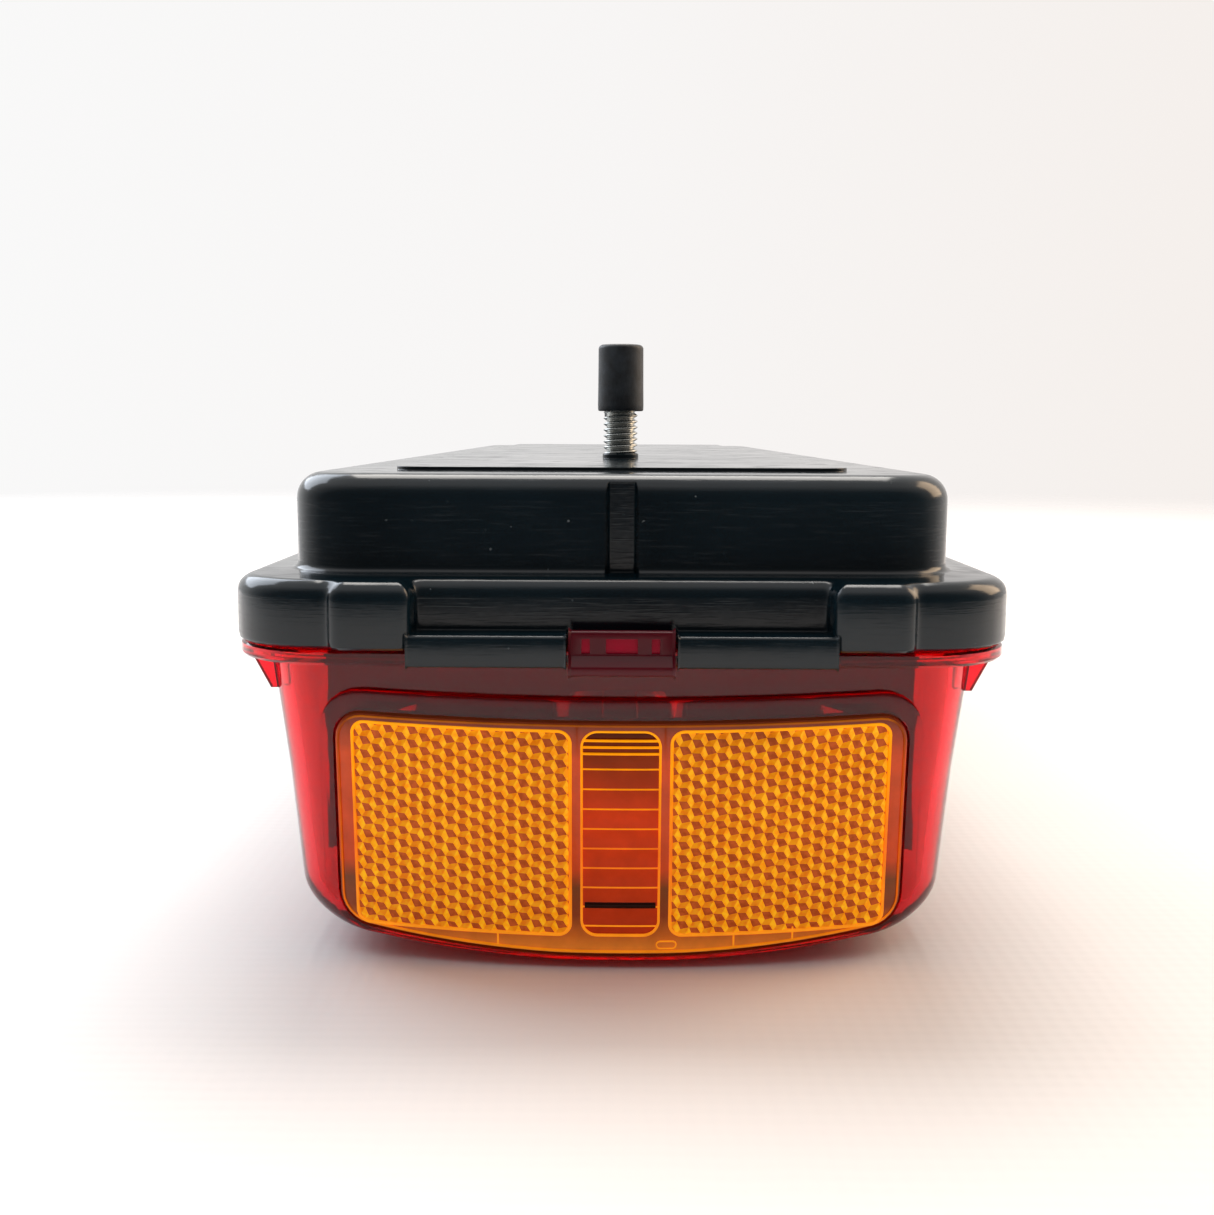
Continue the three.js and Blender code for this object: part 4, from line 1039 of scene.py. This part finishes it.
def marker_window():
    """The window's back: shallow hollow steps between the ridges."""
    half = WINDOW_WIDTH / 2 + 0.05
    edges = [0.0] + window_ridges() + [FIELD_HIGH]
    top = field_middle + FIELD_HIGH / 2
    vertices, faces = [], []
    rows = []
    for start, end in zip(edges, edges[1:]):
        for share, sink in ((0.02, 0.0), (0.3, 0.14), (0.7, 0.14), (0.98, 0.0)):
            rows.append((top - start - (end - start) * share, plate_high - 0.3 - sink))
    across = 8
    for v, out in rows:
        vertices += [on_end_wall(half * (2 * k / across - 1), v, out) for k in range(across + 1)]
    stride = across + 1
    for r in range(len(rows) - 1):
        for k in range(across):
            a = r * stride + k
            faces.append((a, a + stride, a + stride + 1, a + 1))
    return new_piece("marker_window", vertices, faces, amber_panel, 20.0)


def window_ridges():
    """How far below the window's top each ridge lies: three fine ones, then even steps."""
    return [first + step * k for first, step, count in (FINE_RIDGES, EVEN_RIDGES) for k in range(count)]


def wall_bar(name, u0, u1, v, thick, out, material):
    """A half-round bar across the end wall."""
    vertices = []
    across = 8
    for k in range(across + 1):
        u = u0 + (u1 - u0) * k / across
        for step in range(7):
            a = math.pi * step / 6
            vertices.append(on_end_wall(u, v + thick / 2 * math.cos(a), out + thick / 2 * math.sin(a)))
    rings = [vertices[7 * k : 7 * k + 7] for k in range(across + 1)]
    return new_piece(name, *skin(rings), material)


def wall_bead(name, shape, thick, out, material):
    """A closed bead on the end wall along an outline that is given as a function of its inset."""
    levels = [(out - 0.15, -thick / 2), (out + 0.1, -thick * 0.3)]
    levels += [(out + 0.1, thick * 0.3), (out - 0.15, thick / 2)]
    rings = []
    for height, inset in levels:
        rings.append([on_end_wall(point[0], point[1], height) for point in shape(inset)])
    rings.append(rings[0])
    return new_piece(name, *skin(rings, False, False), material)


def side_reflector():
    body_levels = [(plate_low, 0.15), (plate_low + 0.15, 0.0), (plate_high - 0.5, 0.0)]
    body_levels += [(plate_high - 0.26, 0.08), (plate_high - 0.16, 0.3)]
    body = wall_plate("reflector_body", body_levels, reflector_outline, amber_plate)
    for points in (field_outline(-1), field_outline(1), window_outline()):
        combine(body, wall_block("recess", points, plate_low + 0.2, plate_high + 1), "DIFFERENCE")
    keep(body, "lens", "reflector_amber", "side_reflector")
    # Painted glow: the field beads, window bead, window ridges, foot seams and ejector mark are emissive amber
    # lines, and the rim bead is painted bright at its foot.
    bead_out = plate_high - 0.14
    for side in (-1, 1):
        keep(prism_field(side), "lens", "reflector_amber")
        edge = "left" if side < 0 else "right"
        shape = functools.partial(field_outline, side)
        keep(wall_bead("field_bead_" + edge, shape, FIELD_EDGE, bead_out, amber_glow), "lens", "reflector_amber")
    keep(marker_window(), "lens", "reflector_amber")
    keep(wall_bead("window_bead", window_outline, 0.36, bead_out, amber_glow), "lens", "reflector_amber")
    rim = wall_bead("rim_bead", lambda inset: reflector_outline(inset + 0.4), 0.36, bead_out, amber_rim)
    keep(rim, "lens", "reflector_amber")
    top = field_middle + FIELD_HIGH / 2
    half = WINDOW_WIDTH / 2 - 0.1
    for index, down in enumerate(window_ridges()):
        thick = 0.34 if index < FINE_RIDGES[2] else 0.22
        ridge = wall_bar(f"window_ridge_{index}", -half, half, top - down, thick, plate_high - 0.32, amber_glow)
        keep(ridge, "lens", "reflector_amber")
    half -= 0.3
    shadow = wall_bar("window_dark_step", -half, half, top - DARK_STEP_DOWN, 1.1, plate_high - 0.72, amber_shadow)
    keep(shadow, "lens", "reflector_amber")
    low = reflector_bottom + 0.3
    for index, u in enumerate((-reflector_x * 0.43, reflector_x * 0.40, reflector_x * 0.61)):
        seam_low = low + crown(u)
        seam_top = seam_low + 1.9
        points = [(u - 0.1, seam_low), (u + 0.1, seam_low), (u + 0.1, seam_top), (u - 0.1, seam_top)]
        levels = (plate_high - 0.3, plate_high - 0.06)
        rings = [[on_end_wall(*point, out) for point in points] for out in levels]
        keep(new_piece(f"foot_seam_{index}", *skin(rings), amber_glow), "lens", "reflector_amber")

    def ejector_mark(inset):
        middle = Vector((field_in - 0.4, reflector_bottom + 1.3))
        return [p + middle for p in outline(oblong(1.25, 0.5, 0.49), inset)]

    keep(wall_bead("ejector_mark", ejector_mark, 0.2, bead_out, amber_glow), "lens", "reflector_amber")


side_reflector()


# ---- Studs and caps ----
def threaded_stud(index, y):
    """An M6 stud's rolled thread, from the collar to its tip."""
    sides, per_turn = 40, 12
    foot, tip = pad_z + COLLAR_HIGH - 0.6, stud_high.z
    rings = []
    steps = int((tip - foot) / THREAD_PITCH) * per_turn
    for k in range(steps + 1):
        z = foot + (tip - foot) * k / steps
        ring = []
        for j in range(sides):
            a = 2 * math.pi * j / sides
            phase = ((z - foot) / THREAD_PITCH - j / sides) % 1.0
            rise = abs(phase * 2 - 1)
            rise = min(max((rise - 0.12) / 0.76, 0.0), 1.0)
            fade = min(1.0, (tip - z) / 0.9)
            r = STUD_RADIUS - THREAD_DEEP * (1 - rise) - 0.5 * (1 - fade)
            ring.append((r * math.cos(a), y + r * math.sin(a), z))
        rings.append(ring)
    keep(new_piece(f"stud_thread_{index}", *skin(rings), zinc_plate, 50.0), "housing", "zinc_steel")


def stud_head(index, y):
    """A hexagon head inside the housing and the plain neck above it."""
    low = stud_low.z
    angles = [math.radians(60 * k) for k in range(6)]
    rings = []
    for z, inset in ((low, 0.5), (low + 0.5, 0.0), (low + 3.5, 0.0), (low + 3.9, 0.4)):
        reach = HEAD_FLATS / math.sqrt(3) - inset
        rings.append([(reach * math.cos(a), y + reach * math.sin(a), z) for a in angles])
    head = new_piece(f"stud_head_{index}", *skin(rings), zinc_plate, 20.0)
    neck = [(0, low + 3.0), (2.4, low + 3.0), (2.4, pad_z + COLLAR_HIGH - 0.4), (0, pad_z + COLLAR_HIGH - 0.4)]
    combine(head, turned("neck", neck, 0, y, zinc_plate), "UNION")
    keep(head, "housing", "zinc_steel", f"stud_{index}")


def rubber_cap(index, y):
    """A moulded thread cap: a rolled mouth, a slight taper and a domed top edge."""
    low, top = cap_low.z, cap_high.z
    radius = (cap_high - cap_low).x / 2
    inner = radius - 0.7
    profile = [(inner, low + 0.25)]
    profile += arc((radius - 0.35, low + 0.3), 0.32, 200, 340, 6)
    profile += [(radius - 0.02, low + 1.0), (radius - 0.06, low + 4.0), (radius - 0.1, top - 1.2)]
    profile += arc((radius - 0.85, top - 0.75), 0.75, 0, 90, 6)
    profile += [(0, top), (0, top - 0.9), (inner - 0.1, top - 0.9), (inner, low + 0.25)]
    cap = turned(f"thread_cap_{index}", profile, 0, y, cap_rubber, 64)
    keep(cap, f"stud_cap_{index}", "rubber_black", f"stud_cap_{index}")


for index, y in enumerate(stud_ys, 1):
    threaded_stud(index, y)
    stud_head(index, y)
    rubber_cap(index, y)


# ---- Bulbs ----
BULBS = ("tail", "turn", "stop", "reverse")


def bulb_globe(name):
    """A blown glass globe that narrows into the bulb's base."""
    low, high = node_box("bulb_glass_" + name)
    radius = (high.x - low.x) / 2
    middle = low.z + radius
    neck = node_box("bulb_base_" + name)[1].x - 1.6
    outside = arc((0.0, middle), radius, -90, 16, 20)
    outside += [(radius * 0.86, middle + 5.6), (radius * 0.72, middle + 8.6)]
    outside += [(neck, middle + 11.5), (neck, high.z - 0.4)]
    inside = arc((0.0, middle), radius - GLASS_THICK, 16, -90, 20)
    back = [(r - GLASS_THICK, z) for r, z in reversed(outside[21:])]
    y = (low.y + high.y) / 2
    glass = amber_bulb if name == "turn" else clear_bulb
    outside[0] = (0.0, low.z)
    inside[-1] = (0.0, low.z + GLASS_THICK)
    globe = turned("bulb_globe_" + name, outside + back + inside, 0, y, glass, 48, 60.0)
    keep(globe, "bulb_" + name, "bulb_amber" if name == "turn" else "bulb_clear", "bulb_glass_" + name)
    filament = wire("filament_" + name, filament_path(y, middle, high.z - 4.0), 0.11, spring_wire)
    keep(filament, "bulb_" + name, "spring_steel")


def filament_path(y, middle, top):
    """Down one post, along the coil and up the other post."""
    half, coil = 2.6, 0.55
    turns, steps = 9, 10
    path = [Vector((-half, y + coil, top)), Vector((-half, y + coil, middle + 1.0))]
    for k in range(turns * steps + 1):
        a = 2 * math.pi * k / steps
        x = half * (2 * k / (turns * steps) - 1)
        path.append(Vector((x, y + coil * math.cos(a), middle - coil * math.sin(a))))
    return path + [Vector((half, y + coil, middle + 1.0)), Vector((half, y + coil, top))]


def wire(name, path, radius, material, sides=8):
    """A round wire along a path that never runs along X."""
    rings = []
    for k, here in enumerate(path):
        ahead = path[min(k + 1, len(path) - 1)] - path[max(k - 1, 0)]
        side = ahead.cross(Vector((1.0, 0.0, 0.0))).normalized()
        up = ahead.cross(side).normalized()
        angles = [2 * math.pi * j / sides for j in range(sides)]
        rings.append([here + (side * math.cos(a) + up * math.sin(a)) * radius for a in angles])
    return new_piece(name, *skin(rings), material)


for name in BULBS:
    bulb_globe(name)


# ---- CAD nodes that stay, in their real finishes ----
KEPT_FINISHES = {
    "bulb_carrier": carrier_moulding,
    "lens_seal": seal_rubber,
    "cable_grommet": seal_rubber,
    "ground_strip": brass_strip,
    "turn_lens": amber_acrylic,
    "reverse_lens": clear_pmma,
    "holder": nickel_plate,
    "bulb_base": nickel_plate,
    "contact_disc": phenolic_board,
    "contact_spring": spring_wire,
    "feed_strip": brass_strip,
    "carrier_screw": zinc_plate,
    "stud_seal": seal_rubber,
}
for name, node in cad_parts.items():
    for start, material in KEPT_FINISHES.items():
        if name.startswith(start):
            for k in range(len(node.material_slots)):
                node.material_slots[k].link = "DATA"
                node.data.materials[k] = material


# ---- Floor and light ----
def floor():
    """Pale woven cloth, fading into the room at its edges."""
    material, tree = new_material("pale_cloth")
    weave = {"Scale": per_metre(1.1) / 6.283, "Distortion": 1.5}
    warp = add(tree, "TexWave", {**weave, "Vector": stretched(tree, (1, 1, 1))})
    weft = add(tree, "TexWave", {**weave, "Vector": stretched(tree, (1, 1, 1))}, bands_direction="Y")
    crossed = {"Fac": 0.5, "Color1": warp.outputs["Color"], "Color2": weft.outputs["Color"]}
    threads = add(tree, "MixRGB", crossed)
    tone = ramp(tree, noise(tree, 160.0, 2.0), [(0.3, "#f3f0ee"), (0.7, "#f8f6f5")])
    bump = add(tree, "Bump", {"Strength": 0.16, "Distance": 0.2 * MM, "Height": threads.outputs[0]})
    cloth = add(tree, "BsdfPrincipled", {"Base Color": tone, "Roughness": 0.85, "Normal": bump.outputs[0]})
    place = add(tree, "TexCoord")
    far = add(tree, "VectorMath", {0: place.outputs["Object"]}, operation="LENGTH")
    fade = add(tree, "MapRange", {"Value": far.outputs["Value"], "From Min": 0.38, "From Max": 1.3})
    open_air = add(tree, "BsdfTransparent")
    edge = {0: fade.outputs[0], 1: cloth.outputs[0], 2: open_air.outputs[0]}
    finish_material(tree, add(tree, "MixShader", edge))
    reach = 1750.0
    corners = [(-reach, -reach, -0.02), (reach, -reach, -0.02), (reach, reach, -0.02), (-reach, reach, -0.02)]
    new_piece("cloth", corners, [(0, 1, 2, 3)], material)


def softbox(name, spot, aim, size, power, tint):
    light = bpy.data.lights.new(name, "AREA")
    light.shape = "RECTANGLE"
    light.size, light.size_y = size
    light.energy = power
    light.color = colour(tint)[:3]
    lamp = bpy.data.objects.new(name, light)
    bpy.context.scene.collection.objects.link(lamp)
    lamp.location = spot
    lamp.rotation_euler = (Vector(aim) - Vector(spot)).to_track_quat("-Z", "Y").to_euler()


def room_light():
    """A white room, open and bright behind and above the lamp, dim in front; daylight left, warmer right."""
    world = bpy.data.worlds.new("room")
    world.use_nodes = True
    bpy.context.scene.world = world
    tree = world.node_tree
    tree.nodes.clear()
    place = add(tree, "TexCoord")
    apart = add(tree, "SeparateXYZ", {"Vector": place.outputs["Generated"]})
    steep = add(tree, "Math", {0: apart.outputs["Z"], 1: apart.outputs["Z"]}, operation="MULTIPLY")
    lifted = add(tree, "Math", {0: steep.outputs[0], 1: 1.0, 2: apart.outputs["Y"]}, operation="MULTIPLY_ADD")
    spread = add(tree, "MapRange", {"Value": lifted.outputs[0], "From Min": -1.0, "From Max": 0.55})
    level = ramp(tree, spread.outputs[0], [(0.0, 0.08), (0.5, 0.16), (0.75, 0.50), (1.0, 0.97)])
    seen = add(tree, "LightPath")
    backdrop = {"Fac": seen.outputs["Is Camera Ray"], "Color1": level, "Color2": (0.95, 0.95, 0.95, 1)}
    level = add(tree, "MixRGB", backdrop)
    sides = add(tree, "MapRange", {"Value": apart.outputs["X"], "From Min": -0.5, "From Max": 0.5})
    tint = ramp(tree, sides.outputs[0], [(0.0, "#ffffff"), (0.5, "#fdfbfa"), (1.0, "#faf3ee")])
    room = add(tree, "MixRGB", {"Fac": 1.0, "Color1": level.outputs[0], "Color2": tint}, blend_type="MULTIPLY")
    background = add(tree, "Background", {"Color": room.outputs[0], "Strength": 1.0})
    add(tree, "OutputWorld", {"Surface": background.outputs[0]})
    softbox("window", (-0.95, 0.75, 0.85), (0, 0, 0.03), (1.1, 0.9), 11.0, "#e9f2ff")
    softbox("warm_wall", (1.0, 0.3, 0.62), (0, 0, 0.03), (0.6, 0.8), 6.0, "#ffdcb4")
    softbox("ceiling", (0.0, 0.55, 1.1), (0, 0, 0), (0.7, 0.7), 8.5, "#fffaf4")


bpy.context.scene.view_settings.view_transform = "Standard"
floor()
room_light()
